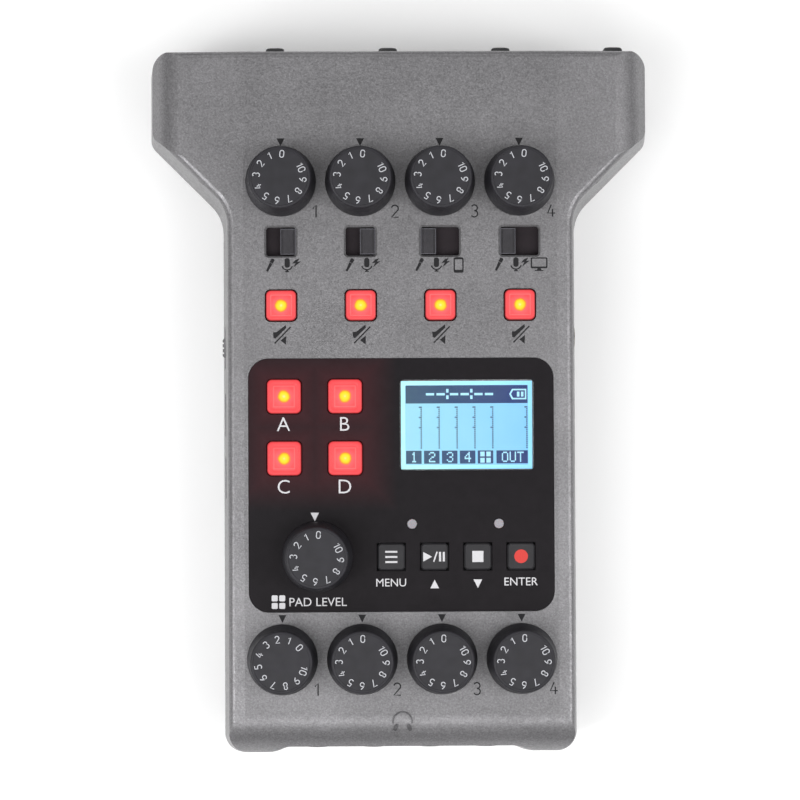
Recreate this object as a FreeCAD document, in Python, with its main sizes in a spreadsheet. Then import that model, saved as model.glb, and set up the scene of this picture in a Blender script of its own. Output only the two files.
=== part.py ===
import FreeCAD, Part
import Sketcher
import math
import os
import re

# Podcast recorder: a desk unit with four microphone channels, four sound pads, a display and
# four headphone outputs. Millimetres. X runs to the right, Y to the rear and Z up. The origin is
# on the table, under the middle of the unit, and Y = 0 is half way from the front edge to the
# tips of the rear latches.

DIMENSIONS = {
    # Case outline at the parting plane
    "head_half": 56.0,
    "body_half": 39.75,
    "rear_y": 77.0,
    "shoulder_y": 57.95,
    "front_y": 79.0,
    "recess_depth": 1.2,
    "recess_inner": 25.4,
    "recess_outer": 28.1,
    # Case heights and walls
    "floor_z": 1.0,
    "parting_z": 16.0,
    "top_z": 36.5,
    "ceiling_z": 34.3,
    "wall": 2.2,
    "cavity_inset": 3.3,
    "side_draft": 5.0,
    # How far a cut starts outside its piece, and how deep an added piece starts inside it
    "overrun": 1.0,
    "sink": 0.5,
    # Case roundings
    "shoulder_radius": 3.4,
    "rear_radius": 3.5,
    "flank_radius": 9.0,
    "front_corner_radius": 4.3,
    "recess_radius": 6.0,
    "rim_radius": 1.5,
    "foot_rim_bevel": 1.4,
    "front_radius": 9.0,
    "crease_x": 34.5,
    "wing_angle": 3.0,
    "cheek_start": 47.5,
    "cheek_radius": 7.0,
    "cheek_turn": 60.0,
    "round_run": 12.0,
    # Cavity under the lid
    "upper_cavity_z": 28.0,
    "upper_cavity_inset": 4.0,
    "upper_cavity_head_inset": 7.0,
    "upper_cavity_front": 69.5,
    # Control panel and its window
    "panel_half": 33.6,
    "panel_rear": 9.2,
    "panel_front": 46.6,
    "panel_radius": 4.5,
    "panel_floor_z": 35.1,
    "panel_top_z": 36.4,
    "panel_gap": 0.1,
    "window_x": 14.45,
    "window_y": -5.6,
    "window_width": 29.5,
    "window_depth": 20.0,
    "window_ledge": 0.3,
    "lcd_margin": 2.0,
    "lcd_gap": 0.5,
    # Rows of controls
    "column_pitch": 17.5,
    "gain_y": 48.1,
    "switch_y": 34.9,
    "mute_y": 20.8,
    "phones_y": -56.9,
    "level_x": -18.5,
    "level_y": -34.4,
    "pad_left_x": -25.7,
    "pad_right_x": -12.3,
    "pad_rear_y": 0.8,
    "pad_front_y": -12.8,
    "key_first_x": -2.3,
    "key_pitch": 9.5,
    "key_y": -34.5,
    "indicator_left_x": 2.3,
    "indicator_right_x": 21.4,
    "indicator_y": -27.3,
    "indicator_radius": 1.05,
    # Knobs
    "knob_radius": 7.75,
    "knob_draft": 5.8,
    "knob_bevel": 0.45,
    "knob_foot_z": 37.0,
    "knob_top_z": 47.0,
    "stem_radius": 2.95,
    "stem_foot_z": 28.2,
    "stem_hole_radius": 3.6,
    "rotor_bore_radius": 3.13,
    "pot_side": 9.6,
    "pot_top_z": 33.9,
    # Slide switches
    "slot_depth": 6.3,
    "slot_short": 6.55,
    "slot_long": 8.5,
    "slot_bevel": 0.4,
    "slider_width": 3.4,
    "slider_depth": 5.7,
    "slider_low_z": 34.45,
    "slider_top_z": 36.1,
    "slider_stem": 1.7,
    "slider_stem_z": 29.8,
    "groove_offset": 1.3,
    "groove_width": 0.45,
    "groove_depth": 0.25,
    "switch_body_depth": 7.4,
    "switch_body_short": 12.0,
    "switch_body_long": 14.4,
    "switch_body_z": 34.1,
    "switch_slot_floor_z": 29.0,
    "switch_slot_width": 2.2,
    # Lit buttons
    "mute_side": 6.8,
    "pad_side": 7.5,
    "button_corner": 0.55,
    "button_bevel": 0.35,
    "button_gap": 0.2,
    "button_foot_z": 28.7,
    "button_top_z": 37.3,
    "button_wall": 1.1,
    "button_skin": 1.3,
    "flange_reach": 0.6,
    "flange_low_z": 33.5,
    "flange_top_z": 34.15,
    # Keys
    "key_width": 6.0,
    "key_depth": 5.85,
    "key_top_z": 36.9,
    "key_bevel": 0.3,
    "key_pin_side": 2.0,
    "key_pin_z": 29.8,
    "tact_side": 6.0,
    "tact_top_z": 31.2,
    "tact_bore_side": 2.4,
    "tact_bore_z": 28.6,
    # Lamps and indicator lenses
    "lamp_side": 2.8,
    "lamp_height": 1.3,
    "lens_lift": 1.0,
    # Boards
    "board_z": 26.0,
    "board_top_z": 27.6,
    "board_half": 30.0,
    "board_ear_half": 35.4,
    "board_ear_rear": 22.0,
    "board_ear_front": 24.0,
    "board_front": 73.8,
    "board_rear": 53.2,
    "board_head_half": 38.0,
    "board_neck_rear": 38.2,
    "seat_gap": 0.05,
    "xlr_board_front": 53.6,
    "xlr_board_rear": 55.2,
    "xlr_board_half": 45.8,
    "xlr_board_low_z": 6.0,
    "xlr_board_top_z": 31.0,
    # Microphone sockets at the rear
    "socket_pitch": 25.0,
    "socket_z": 18.5,
    "socket_radius": 11.2,
    "socket_hole_radius": 11.45,
    "socket_back": 55.4,
    "socket_face": 77.3,
    "groove_radius": 9.7,
    "groove_floor": 57.4,
    "insert_radius": 7.9,
    "insert_face": 76.3,
    "notch_width": 2.2,
    "notch_depth": 1.2,
    "contact_circle": 4.1,
    "contact_hole_radius": 1.5,
    "contact_side": 1.6,
    "contact_back": 55.3,
    "contact_tip": 70.0,
    "latch_offset_x": 10.0,
    "latch_z": 30.15,
    "latch_side": 4.2,
    "latch_gap": 0.2,
    "latch_arm": 2.6,
    "latch_arm_end": 58.2,
    "latch_shoulder": 73.5,
    "latch_tip": 79.0,
    "latch_bevel": 0.8,
    "latch_travel": 1.5,
    # Headphone sockets at the front
    "jack_pitch": 12.5,
    "jack_z": 23.5,
    "jack_bore_radius": 1.8,
    "jack_bore_length": 12.0,
    "jack_collar_radius": 3.0,
    "jack_hole_radius": 3.1,
    "jack_face": 77.3,
    "jack_block_face": 74.45,
    "jack_block_back": 63.0,
    "jack_block_side": 6.4,
    "jack_block_height": 4.9,
    # Ports on the sides
    "usb_first_y": -3.0,
    "usb_second_y": -17.0,
    "usb_z": 24.25,
    "usb_width": 8.94,
    "usb_height": 3.26,
    "usb_wall": 0.3,
    "usb_face": 38.65,
    "usb_back": 31.0,
    "usb_tongue_width": 6.6,
    "usb_tongue_height": 0.7,
    "usb_tongue_face": 37.2,
    "usb_pocket_floor": 32.5,
    "usb_hole_gap": 0.35,
    "usb_bevel": 1.0,
    "power_y": 12.0,
    "power_z": 22.3,
    "power_slot_length": 9.5,
    "power_slot_height": 3.2,
    "power_cap_length": 4.4,
    "power_cap_height": 2.8,
    "power_cap_face": 39.7,
    "power_cap_back": 37.2,
    "power_cap_bevel": 0.4,
    "power_rib_pitch": 1.1,
    "power_rib_width": 0.4,
    "power_rib_depth": 0.3,
    "power_stem": 1.6,
    "power_stem_end": 33.8,
    "power_body_face": 36.3,
    "power_body_back": 30.5,
    "power_body_length": 12.4,
    "power_body_low_z": 19.6,
    "power_body_slot_length": 7.0,
    "power_body_slot_height": 2.0,
    "power_body_slot_floor": 33.0,
    "phone_jack_y": 14.0,
    "phone_jack_face": 39.0,
    "phone_block_face": 36.3,
    "phone_block_back": 23.5,
    "card_y": -8.0,
    "card_z": 24.3,
    "card_slot_width": 24.5,
    "card_slot_height": 2.4,
    "card_hole_gap": 0.2,
    "card_block_width": 28.0,
    "card_block_low_z": 22.8,
    "card_block_back": 9.5,
    "card_block_face": 36.4,
    "card_slot_floor": 12.5,
    "hatch_length": 29.5,
    "hatch_low_z": 20.85,
    "hatch_top_z": 26.65,
    "hatch_back": 37.9,
    "hatch_recess_x": 37.8,
    "hatch_gap": 0.25,
    "hatch_pivot_x": 38.6,
    "hatch_pivot_z": 21.5,
    "hatch_pin_radius": 0.4,
    "hatch_pin_length": 0.8,
    "hatch_pin_hole_radius": 0.48,
    "hatch_inner_bevel": 0.5,
    "hatch_outer_bevel": 0.35,
    # Battery bay and its cover
    "cell_radius": 7.2,
    "cell_length": 49.3,
    "cell_nub_side": 4.6,
    "cell_nub_length": 1.1,
    "cell_z": 10.95,
    "cell_front_y": -57.65,
    "cell_rear_y": -42.6,
    "bay_half": 28.0,
    "bay_front": 65.6,
    "bay_rear": 34.6,
    "bay_roof_z": 18.4,
    "bay_wall": 1.5,
    "bay_frame_half": 32.5,
    "bay_frame_margin": 4.0,
    "bay_frame_z": 4.6,
    "cover_half": 28.4,
    "cover_tongue_half": 29.7,
    "cover_rear": 30.3,
    "cover_gap": 0.2,
    "cover_step_z": 2.05,
    "cover_plate_z": 3.05,
    "cover_lip_z": 7.0,
    "cover_lip_inner": 75.6,
    "cover_stop_wall": 1.6,
    "grip_length": 13.0,
    "grip_width": 0.9,
    "grip_depth": 0.35,
    "grip_pitch": 2.2,
    "grip_y": -70.0,
    "contact_plate_side": 9.0,
    "contact_plate": 0.5,
    "contact_gap": 0.1,
    "contact_spring_side": 5.0,
    # Screws, bosses and feet
    "screw_body_x": 33.2,
    "screw_front_y": -48.0,
    "screw_head_x": 42.0,
    "screw_rear_y": 50.0,
    "screw_radius": 1.25,
    "screw_head_radius": 2.2,
    "screw_seat_z": 5.0,
    "screw_head_height": 1.8,
    "screw_tip_z": 25.0,
    "column_radius": 3.1,
    "counterbore_radius": 2.4,
    "clearance_radius": 1.45,
    "pilot_radius": 1.3,
    "boss_radius": 2.8,
    "boss_gap": 0.2,
    "foot_front_y": -68.0,
    "foot_rear_x": 44.0,
    "foot_rear_y": 66.0,
    "foot_width": 4.4,
    "foot_length": 11.0,
    "foot_corner": 1.2,
}

CHANNELS = (1, 2, 3, 4)

# Round pieces that repeat are drawn with flat sides, to keep the mesh light
KNOB_SIDES = 24
SOCKET_SIDES = 20
CELL_SIDES = 24
COLLAR_SIDES = 16
SMALL_SIDES = 12
HOLE_SIDES = 8

doc = FreeCAD.newDocument("recorder")
sheet = doc.addObject("Spreadsheet::Sheet", "Sizes")
for row, (alias, size) in enumerate(DIMENSIONS.items(), start=1):
    sheet.set(f"A{row}", alias)
    sheet.set(f"B{row}", str(size))
    sheet.setAlias(f"B{row}", alias)
doc.recompute()

sub_parts = []


def bound(text):
    """The expression in words, with each named size looked up in the sheet."""
    named = lambda found: "Sizes." + found[0] if found[0] in DIMENSIONS else found[0]
    return re.sub(r"[a-z][a-z_0-9]*", named, str(text))


def size_of(text):
    """The number that an expression gives now."""
    found = sheet.evalExpression(bound(text))
    return float(getattr(found, "Value", found))


def channel_x(channel, pitch="column_pitch"):
    """X of one of four evenly spaced columns, numbered from the left."""
    return f"{channel - 2.5} * {pitch}"


def new_body(label, x="0", y="0", z="0"):
    """A body that carries one sub-part, placed at a point."""
    body = doc.addObject("PartDesign::Body", label)
    body.Label = label
    body.AllowCompound = True
    for axis, place in zip("xyz", (x, y, z)):
        body.setExpression(f".Placement.Base.{axis}", bound(place))
    sub_parts.append(body)
    return body


class Outline:
    """A sketch whose constraints are gathered while it is drawn and added in one go."""

    def __init__(self, sketch):
        self.sketch = sketch
        self.rules = []

    def add(self, kind, *places):
        """Adds a rule that has no size."""
        self.rules.append((Sketcher.Constraint(kind, *places), None))

    def join(self, curve, end, other, start):
        """Lets two curves meet."""
        self.add("Coincident", curve, end, other, start)

    def size(self, curve, radius):
        """Gives an arc or a circle its radius."""
        self.rules.append((Sketcher.Constraint("Radius", curve, size_of(radius)), radius))

    def hold(self, curve, end, x, y):
        """Dimensions a point of a curve from the sketch's origin."""
        for kind, distance in (("DistanceX", x), ("DistanceY", y)):
            value = size_of(distance)
            if value < 0:
                rule = Sketcher.Constraint(kind, curve, end, -1, 1, -value)
                self.rules.append((rule, f"-({distance})"))
            else:
                rule = Sketcher.Constraint(kind, -1, 1, curve, end, value)
                self.rules.append((rule, distance))

    def finish(self):
        """Adds the constraints, binds those that have an expression and gives the sketch."""
        indices = self.sketch.addConstraint([rule for rule, _ in self.rules])
        for index, (_, text) in zip(indices, self.rules):
            if text:
                self.sketch.setExpression(f"Constraints[{index}]", bound(text))
        return self.sketch


def new_outline(body, plane, low="0", high="0"):
    """An outline on an origin plane of its body, where a feature from low to high starts.

    The normals of the XY and YZ planes point up and right, so the sketch lies at low. The
    normal of the XZ plane points to the front, so there it lies at high.
    """
    sketch = body.newObject("Sketcher::SketchObject", body.Label + "_sketch")
    support = next(item for item in body.Origin.OriginFeatures if item.Role == plane + "_Plane")
    sketch.AttachmentSupport = [(support, "")]
    sketch.MapMode = "FlatFace"
    start = f"-({high})" if plane == "XZ" else low
    sketch.setExpression(".AttachmentOffset.Base.z", bound(start))
    return Outline(sketch)


def place_of(x, y):
    """The point that a pair of expressions gives now."""
    return FreeCAD.Vector(size_of(x), size_of(y), 0)


def draw_polygon(outline, points):
    """Closed straight-sided outline through points given as pairs of expressions."""
    places = [place_of(x, y) for x, y in points]
    first = len(outline.sketch.Geometry)
    count = len(points)
    lines = [Part.LineSegment(place, places[(n + 1) % count]) for n, place in enumerate(places)]
    outline.sketch.addGeometry(lines)
    for n, (x, y) in enumerate(points):
        outline.join(first + n, 2, first + (n + 1) % count, 1)
        outline.hold(first + n, 1, x, y)


def draw_rectangle(outline, x, y, width, depth):
    """Rectangle about a centre."""
    left, right = f"({x}) - ({width}) / 2", f"({x}) + ({width}) / 2"
    near, far = f"({y}) - ({depth}) / 2", f"({y}) + ({depth}) / 2"
    draw_polygon(outline, [(left, near), (right, near), (right, far), (left, far)])


def draw_circle(outline, x, y, radius):
    """Circle about a centre."""
    circle = Part.Circle(place_of(x, y), FreeCAD.Vector(0, 0, 1), size_of(radius))
    curve = outline.sketch.addGeometry(circle)
    outline.size(curve, radius)
    outline.hold(curve, 3, x, y)


def draw_ring(outline, x, y, radius, sides):
    """Regular many-sided outline inside a helper circle, with its first corner to the right."""
    centre, reach = place_of(x, y), size_of(radius)
    turns = [2 * math.pi * n / sides for n in range(sides)]
    places = [centre + FreeCAD.Vector(math.cos(turn), math.sin(turn), 0) * reach for turn in turns]
    circle = outline.sketch.addGeometry(Part.Circle(centre, FreeCAD.Vector(0, 0, 1), reach), True)
    lines = [Part.LineSegment(place, places[(n + 1) % sides]) for n, place in enumerate(places)]
    outline.sketch.addGeometry(lines)
    outline.size(circle, radius)
    outline.hold(circle, 3, x, y)
    first = circle + 1
    outline.add("Horizontal", circle, 3, first, 1)
    for n in range(sides):
        outline.join(first + n, 2, first + (n + 1) % sides, 1)
        outline.add("PointOnObject", first + n, 1, circle)
        if n:
            outline.add("Equal", first, first + n)


def draw_bevelled(outline, x, y, width, depth, bevel):
    """Rectangle about a centre with its four corners cut off."""
    half_x, half_y = f"({width}) / 2", f"({depth}) / 2"
    corner = [(half_x, f"{half_y} - {bevel}"), (f"{half_x} - {bevel}", half_y)]
    points = []
    for side_x, side_y in ((1, 1), (-1, 1), (-1, -1), (1, -1)):
        pair = corner if side_x == side_y else corner[::-1]
        points += [(f"({x}) + {side_x} * ({dx})", f"({y}) + {side_y} * ({dy})") for dx, dy in pair]
    draw_polygon(outline, points)


def add_pad(body, outline, length, down=False):
    """Raise the outline along its plane's normal, or the other way."""
    pad = body.newObject("PartDesign::Pad", body.Label + "_pad")
    pad.Profile = outline.finish()
    pad.setExpression("Length", bound(length))
    pad.Reversed = down
    pad.Refine = False
    doc.recompute()


def add_draft(body, angle, level, skipped=lambda face: False):
    """Lean the upright faces inwards, away from the level face at a height."""
    base = body.Tip
    faces = {f"Face{n}": face for n, face in enumerate(base.Shape.Faces, 1)}
    height = size_of(level)
    level_faces = {name for name, face in faces.items() if abs(face.normalAt(0, 0).z) > 0.9}
    upright = [name for name, face in faces.items() if name not in level_faces and not skipped(face)]
    neutral = next(name for name in level_faces if abs(faces[name].CenterOfMass.z - height) < 0.01)
    draft = body.newObject("PartDesign::Draft", body.Label + "_draft")
    draft.Base = (base, upright)
    draft.NeutralPlane = (base, [neutral])
    draft.setExpression("Angle", bound(angle))
    doc.recompute()
    if draft.Shape.Volume > base.Shape.Volume:
        draft.Reversed = True
        doc.recompute()


def add_cut(body, outline, length=None, down=False):
    """Cut along the plane's normal, or right through both ways where no length is given."""
    before = body.Shape.Volume
    cut = body.newObject("PartDesign::Pocket", body.Label + "_cut")
    cut.Profile = outline.finish()
    cut.Refine = False
    if length is None:
        cut.Type = "ThroughAll"
        cut.Midplane = True
    else:
        cut.setExpression("Length", bound(length))
        cut.Reversed = not down
    doc.recompute()
    if body.Shape.Volume > before - 1e-6:
        raise RuntimeError(f"{body.Label}: {cut.Name} removed nothing")


def block(body, plane, shapes, low, high):
    """Pads a set of rectangles, each a centre and two sides, from low to high."""
    outline = new_outline(body, plane, low, high)
    for shape in shapes:
        draw_rectangle(outline, *shape)
    add_pad(body, outline, f"({high}) - ({low})")


def hollow(body, plane, shapes, low, high):
    """Cuts a set of rectangles from low to high."""
    outline = new_outline(body, plane, low, high)
    for shape in shapes:
        draw_rectangle(outline, *shape)
    add_cut(body, outline, f"({high}) - ({low})")


def post(body, plane, shapes, sides, low, high):
    """Pads many-sided posts, each a centre and a radius, from low to high."""
    outline = new_outline(body, plane, low, high)
    for shape in shapes:
        draw_ring(outline, *shape, sides)
    add_pad(body, outline, f"({high}) - ({low})")


def flat_bore(body, plane, shapes, sides, low, high):
    """Cuts many-sided holes, each a centre and a radius, from low to high."""
    outline = new_outline(body, plane, low, high)
    for shape in shapes:
        draw_ring(outline, *shape, sides)
    add_cut(body, outline, f"({high}) - ({low})")


def bore(body, plane, shapes, low, high):
    """Cuts round holes, each a centre and a radius, from low to high."""
    outline = new_outline(body, plane, low, high)
    for shape in shapes:
        draw_circle(outline, *shape)
    add_cut(body, outline, f"({high}) - ({low})")


def soften(body, size, chosen, kind="Fillet"):
    """Rounds or bevels the edges that a test on each edge's bounding box picks."""
    base = body.Tip
    names = [f"Edge{n}" for n, edge in enumerate(base.Shape.Edges, 1) if chosen(edge.BoundBox)]
    if not names:
        raise RuntimeError(f"{body.Label}: no edge to soften")
    feature = body.newObject("PartDesign::" + kind, body.Label + "_" + kind.lower())
    feature.Base = (base, names)
    measure = "Radius" if kind == "Fillet" else "Size"
    feature.setExpression(measure, bound(size))
    doc.recompute()


def rises(box, least=0.5):
    """Whether an edge stands upright."""
    return box.ZLength > least and box.ZLength > 3 * max(box.XLength, box.YLength)


def at_height(z):
    """A test for edges that lie level at a height."""
    level = size_of(z)
    return lambda box: abs(box.ZMin - level) < 0.01 and abs(box.ZMax - level) < 0.01


def case_points(inset="0", front=None, rear="rear_y", recess=False):
    """Corners of the case's T-shaped outline, drawn in by an inset, from the front middle."""
    front = front or f"{inset} - front_y"
    side = f"body_half - ({inset})"
    head = f"head_half - ({inset})"
    flank = f"shoulder_y - head_half + sqrt(2) * ({inset})"
    half = [
        (side, front),
        (side, f"{flank} + {side}"),
        (head, f"{flank} + {head}"),
        (head, rear),
    ]
    if recess:
        half = [("recess_inner", f"recess_depth + {front}"), ("recess_outer", front)] + half
    return half + [(f"-({x})", y) for x, y in reversed(half)]


def cavity_points():
    """Corners of the hollow that both halves of the case share."""
    return case_points("cavity_inset", front="recess_depth + cavity_inset - front_y", rear="rear_y - wall")


def at_corner(x, y, length):
    """A test for upright edges of about a length that start at a corner or at its mirror image."""
    aside, along, least = size_of(x), size_of(y), size_of(length) * 0.9
    near = 0.6

    def upright(box):
        side = max(abs(box.XMin), abs(box.XMax))
        end = min(abs(box.YMin - along), abs(box.YMax - along))
        return box.ZLength > least and abs(side - aside) < near and end < near

    return upright


def case_shell(body, length, down):
    """Solid of one half of the case, from the parting plane up or down, with drafted sides."""
    outline = new_outline(body, "XY", "parting_z")
    draw_polygon(outline, case_points(recess=True))
    add_pad(body, outline, length, down)
    rear = size_of("rear_y")
    add_draft(body, "side_draft", "parting_z", lambda face: face.CenterOfMass.y > rear - 0.1)
    corners = [
        ("head_half", "shoulder_y", "shoulder_radius"),
        ("head_half", "rear_y", "rear_radius"),
        ("body_half", "body_half + shoulder_y - head_half", "flank_radius"),
        ("body_half", "-front_y", "front_corner_radius"),
        ("recess_outer", "-front_y", "recess_radius"),
        ("recess_inner", "recess_depth - front_y", "recess_radius"),
    ]
    for x, y, radius in corners:
        soften(body, radius, at_corner(x, y, length))


def top_case():
    """Upper shell with its wings, rounded cheeks and front, and all the control openings."""
    body = new_body("top_case")
    case_shell(body, "top_z - parting_z", down=False)
    crease = size_of("crease_x")
    wings = new_outline(body, "XZ")
    for side in (1, -1):
        drop = "(head_half - crease_x) * tan(wing_angle)"
        wing = [
            ("crease_x", "top_z"),
            ("head_half", f"top_z - {drop}"),
            ("head_half", "top_z + overrun"),
            ("crease_x", "top_z + overrun"),
        ]
        draw_polygon(wings, [(f"{side} * ({x})", z) for x, z in wing])
    add_cut(body, wings)
    rim = size_of("top_z") - 1.2

    def on_rim(box):
        inside = box.XMax < crease + 0.05 and box.XMin > -crease - 0.05
        crossing = inside and box.YMin > -75 and box.YMax < 76.5
        return box.ZMin > rim and box.YLength < 150 and not crossing

    soften(body, "rim_radius", on_rim)
    round_cheeks(body)
    round_front(body)
    cut_cavity(body)
    add_bosses(body)
    cut_controls(body)
    cut_ports(body)


def draw_round(outline, start, turn_from, turn_to, radius, mirror=1):
    """Region outside an arc that starts at a point, for cutting a rounded edge.

    The solver takes every arc as running counter-clockwise, so it is drawn that way.
    """

    def on_arc(turn):
        aside = f"{start[0]} + {radius} * (sin({turn}) - sin({turn_from}))"
        return f"{mirror} * ({aside})", f"{start[1]} + {radius} * (cos({turn}) - cos({turn_from}))"

    first, last = on_arc(turn_from), on_arc(turn_to)
    beyond = f"{last[0]} + {mirror} * round_run * cos({turn_to})"
    below = f"{last[1]} - round_run * sin({turn_to})"
    above = f"{first[1]} + overrun"
    corners = [last, (beyond, below), (beyond, above), (first[0], above), first]
    places = [place_of(x, y) for x, y in corners]
    lines = [Part.LineSegment(here, there) for here, there in zip(places, places[1:])]
    turns = sorted(math.radians(90 - mirror * size_of(turn)) for turn in (turn_from, turn_to))
    lean = size_of(f"{mirror} * {radius} * sin({turn_from})"), size_of(f"{radius} * cos({turn_from})")
    circle = Part.Circle(places[-1] - FreeCAD.Vector(*lean, 0), FreeCAD.Vector(0, 0, 1), size_of(radius))
    arc = outline.sketch.addGeometry(Part.ArcOfCircle(circle, *turns))
    outline.sketch.addGeometry(lines)
    near, far = (2, 1) if mirror > 0 else (1, 2)
    outline.size(arc, radius)
    outline.join(arc, far, arc + 1, 1)
    outline.join(arc, near, arc + 4, 2)
    for n, corner in enumerate(corners[:-1], start=1):
        outline.hold(arc + n, 1, *corner)
        if n > 1:
            outline.join(arc + n - 1, 2, arc + n, 1)
    outline.hold(arc, near, *first)


def round_cheeks(body):
    """Large soft edge on both outer sides of the head."""
    outline = new_outline(body, "XZ")
    start = "cheek_start", "top_z - (cheek_start - crease_x) * tan(wing_angle)"
    for side in (1, -1):
        draw_round(outline, start, "wing_angle", "cheek_turn", "cheek_radius", side)
    add_cut(body, outline)


def round_front(body):
    """Large rolled edge where the top turns down into the front wall."""
    drop = "(top_z - front_radius - parting_z) * tan(side_draft)"
    start = f"front_y - {drop} - front_radius / cos(side_draft)", "top_z"
    outline = new_outline(body, "YZ")
    draw_round(outline, start, "0", "(90 - side_draft)", "front_radius", -1)
    add_cut(body, outline)


def cut_cavity(body):
    """Hollow under the lid, in two steps that follow the rolled front edge."""
    lower = new_outline(body, "XY", "parting_z")
    draw_polygon(lower, cavity_points())
    add_cut(body, lower, "upper_cavity_z - parting_z")
    upper = new_outline(body, "XY", "upper_cavity_z")
    inset, head = "upper_cavity_inset", "head_half - upper_cavity_head_inset"
    flank = f"shoulder_y - head_half + sqrt(2) * {inset}"
    half = [
        (f"body_half - {inset}", "-upper_cavity_front"),
        (f"body_half - {inset}", f"{flank} + body_half - {inset}"),
        (head, f"{flank} + {head}"),
        (head, f"rear_y - {inset}"),
    ]
    draw_polygon(upper, half + [(f"-({x})", y) for x, y in reversed(half)])
    add_cut(body, upper, "ceiling_z - upper_cavity_z")


SCREW_PLACES = [
    (f"{side} * {x}", y)
    for x, y in (("screw_body_x", "screw_front_y"), ("screw_head_x", "screw_rear_y"))
    for side in (1, -1)
]


def add_bosses(body):
    """Pillars under the lid that take the case screws."""
    pillars = [(x, y, "boss_radius") for x, y in SCREW_PLACES]
    post(body, "XY", pillars, SMALL_SIDES, "parting_z + boss_gap", "ceiling_z + sink")
    pilots = [(x, y, "pilot_radius") for x, y in SCREW_PLACES]
    flat_bore(body, "XY", pilots, SMALL_SIDES, "parting_z", "screw_tip_z + overrun")


KNOB_PLACES = {
    **{f"gain_knob_{n}": (channel_x(n), "gain_y") for n in CHANNELS},
    "pad_level_knob": ("level_x", "level_y"),
    **{f"phones_knob_{n}": (channel_x(n), "phones_y") for n in CHANNELS},
}

PAD_PLACES = {
    "pad_button_a": ("pad_left_x", "pad_rear_y"),
    "pad_button_b": ("pad_right_x", "pad_rear_y"),
    "pad_button_c": ("pad_left_x", "pad_front_y"),
    "pad_button_d": ("pad_right_x", "pad_front_y"),
}

KEY_PLACES = {
    name: (f"key_first_x + {n} * key_pitch", "key_y")
    for n, name in enumerate(("menu_button", "play_button", "stop_button", "record_button"))
}

INDICATOR_PLACES = [("indicator_left_x", "indicator_y"), ("indicator_right_x", "indicator_y")]


def slot_of(channel):
    """Length of a channel's switch slot, and where its slider rests."""
    if channel < 3:
        return "slot_short", "(slot_short - slider_width) / 2"
    return "slot_long", "-(slot_long - slider_width) / 2"


def cut_controls(body):
    """Recess for the panel and the openings for knobs, switches, buttons, keys and window."""
    low, high = "ceiling_z - overrun", "top_z + overrun"
    recess = new_outline(body, "XY", "panel_floor_z")
    width, depth = "2 * panel_half", "panel_rear + panel_front"
    draw_rectangle(recess, "0", "(panel_rear - panel_front) / 2", width, depth)
    add_cut(body, recess, "top_z - panel_floor_z")
    half, floor = size_of("panel_half"), size_of("panel_floor_z")

    def panel_corner(box):
        return rises(box) and abs(max(box.XMax, -box.XMin) - half) < 0.01 and box.ZMin > floor - 0.1

    soften(body, "panel_radius", panel_corner)
    rounds = [(x, y, "stem_hole_radius") for x, y in KNOB_PLACES.values()]
    rounds += [(x, y, "indicator_radius + panel_gap") for x, y in INDICATOR_PLACES]
    flat_bore(body, "XY", rounds, SMALL_SIDES, low, high)
    mute = "mute_side + 2 * button_gap"
    pad = "pad_side + 2 * button_gap"
    key = "key_width + 2 * button_gap", "key_depth + 2 * button_gap"
    window = "window_width - 2 * window_ledge", "window_depth - 2 * window_ledge"
    shapes = [(channel_x(n), "mute_y", mute, mute) for n in CHANNELS]
    shapes += [(channel_x(n), "switch_y", slot_of(n)[0], "slot_depth") for n in CHANNELS]
    shapes += [(x, y, pad, pad) for x, y in PAD_PLACES.values()]
    shapes += [(x, y, *key) for x, y in KEY_PLACES.values()]
    shapes.append(("window_x", "window_y", *window))
    hollow(body, "XY", shapes, low, high)
    top, row, reach = size_of("top_z"), size_of("switch_y"), size_of("slot_depth / 2")

    def slot_rim(box):
        level = abs(box.ZMin - top) < 0.01 and abs(box.ZMax - top) < 0.01
        return level and box.YMin > row - reach - 0.1 and box.YMax < row + reach + 0.1

    soften(body, "slot_bevel", slot_rim, "Chamfer")


def cut_rear_rounds(body):
    """Round openings in the rear wall for the microphone sockets."""
    rounds = [(channel_x(n, "socket_pitch"), "socket_z", "socket_hole_radius") for n in CHANNELS]
    flat_bore(body, "XZ", rounds, SOCKET_SIDES, "rear_y - 2 * wall", "rear_y + overrun")


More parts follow.
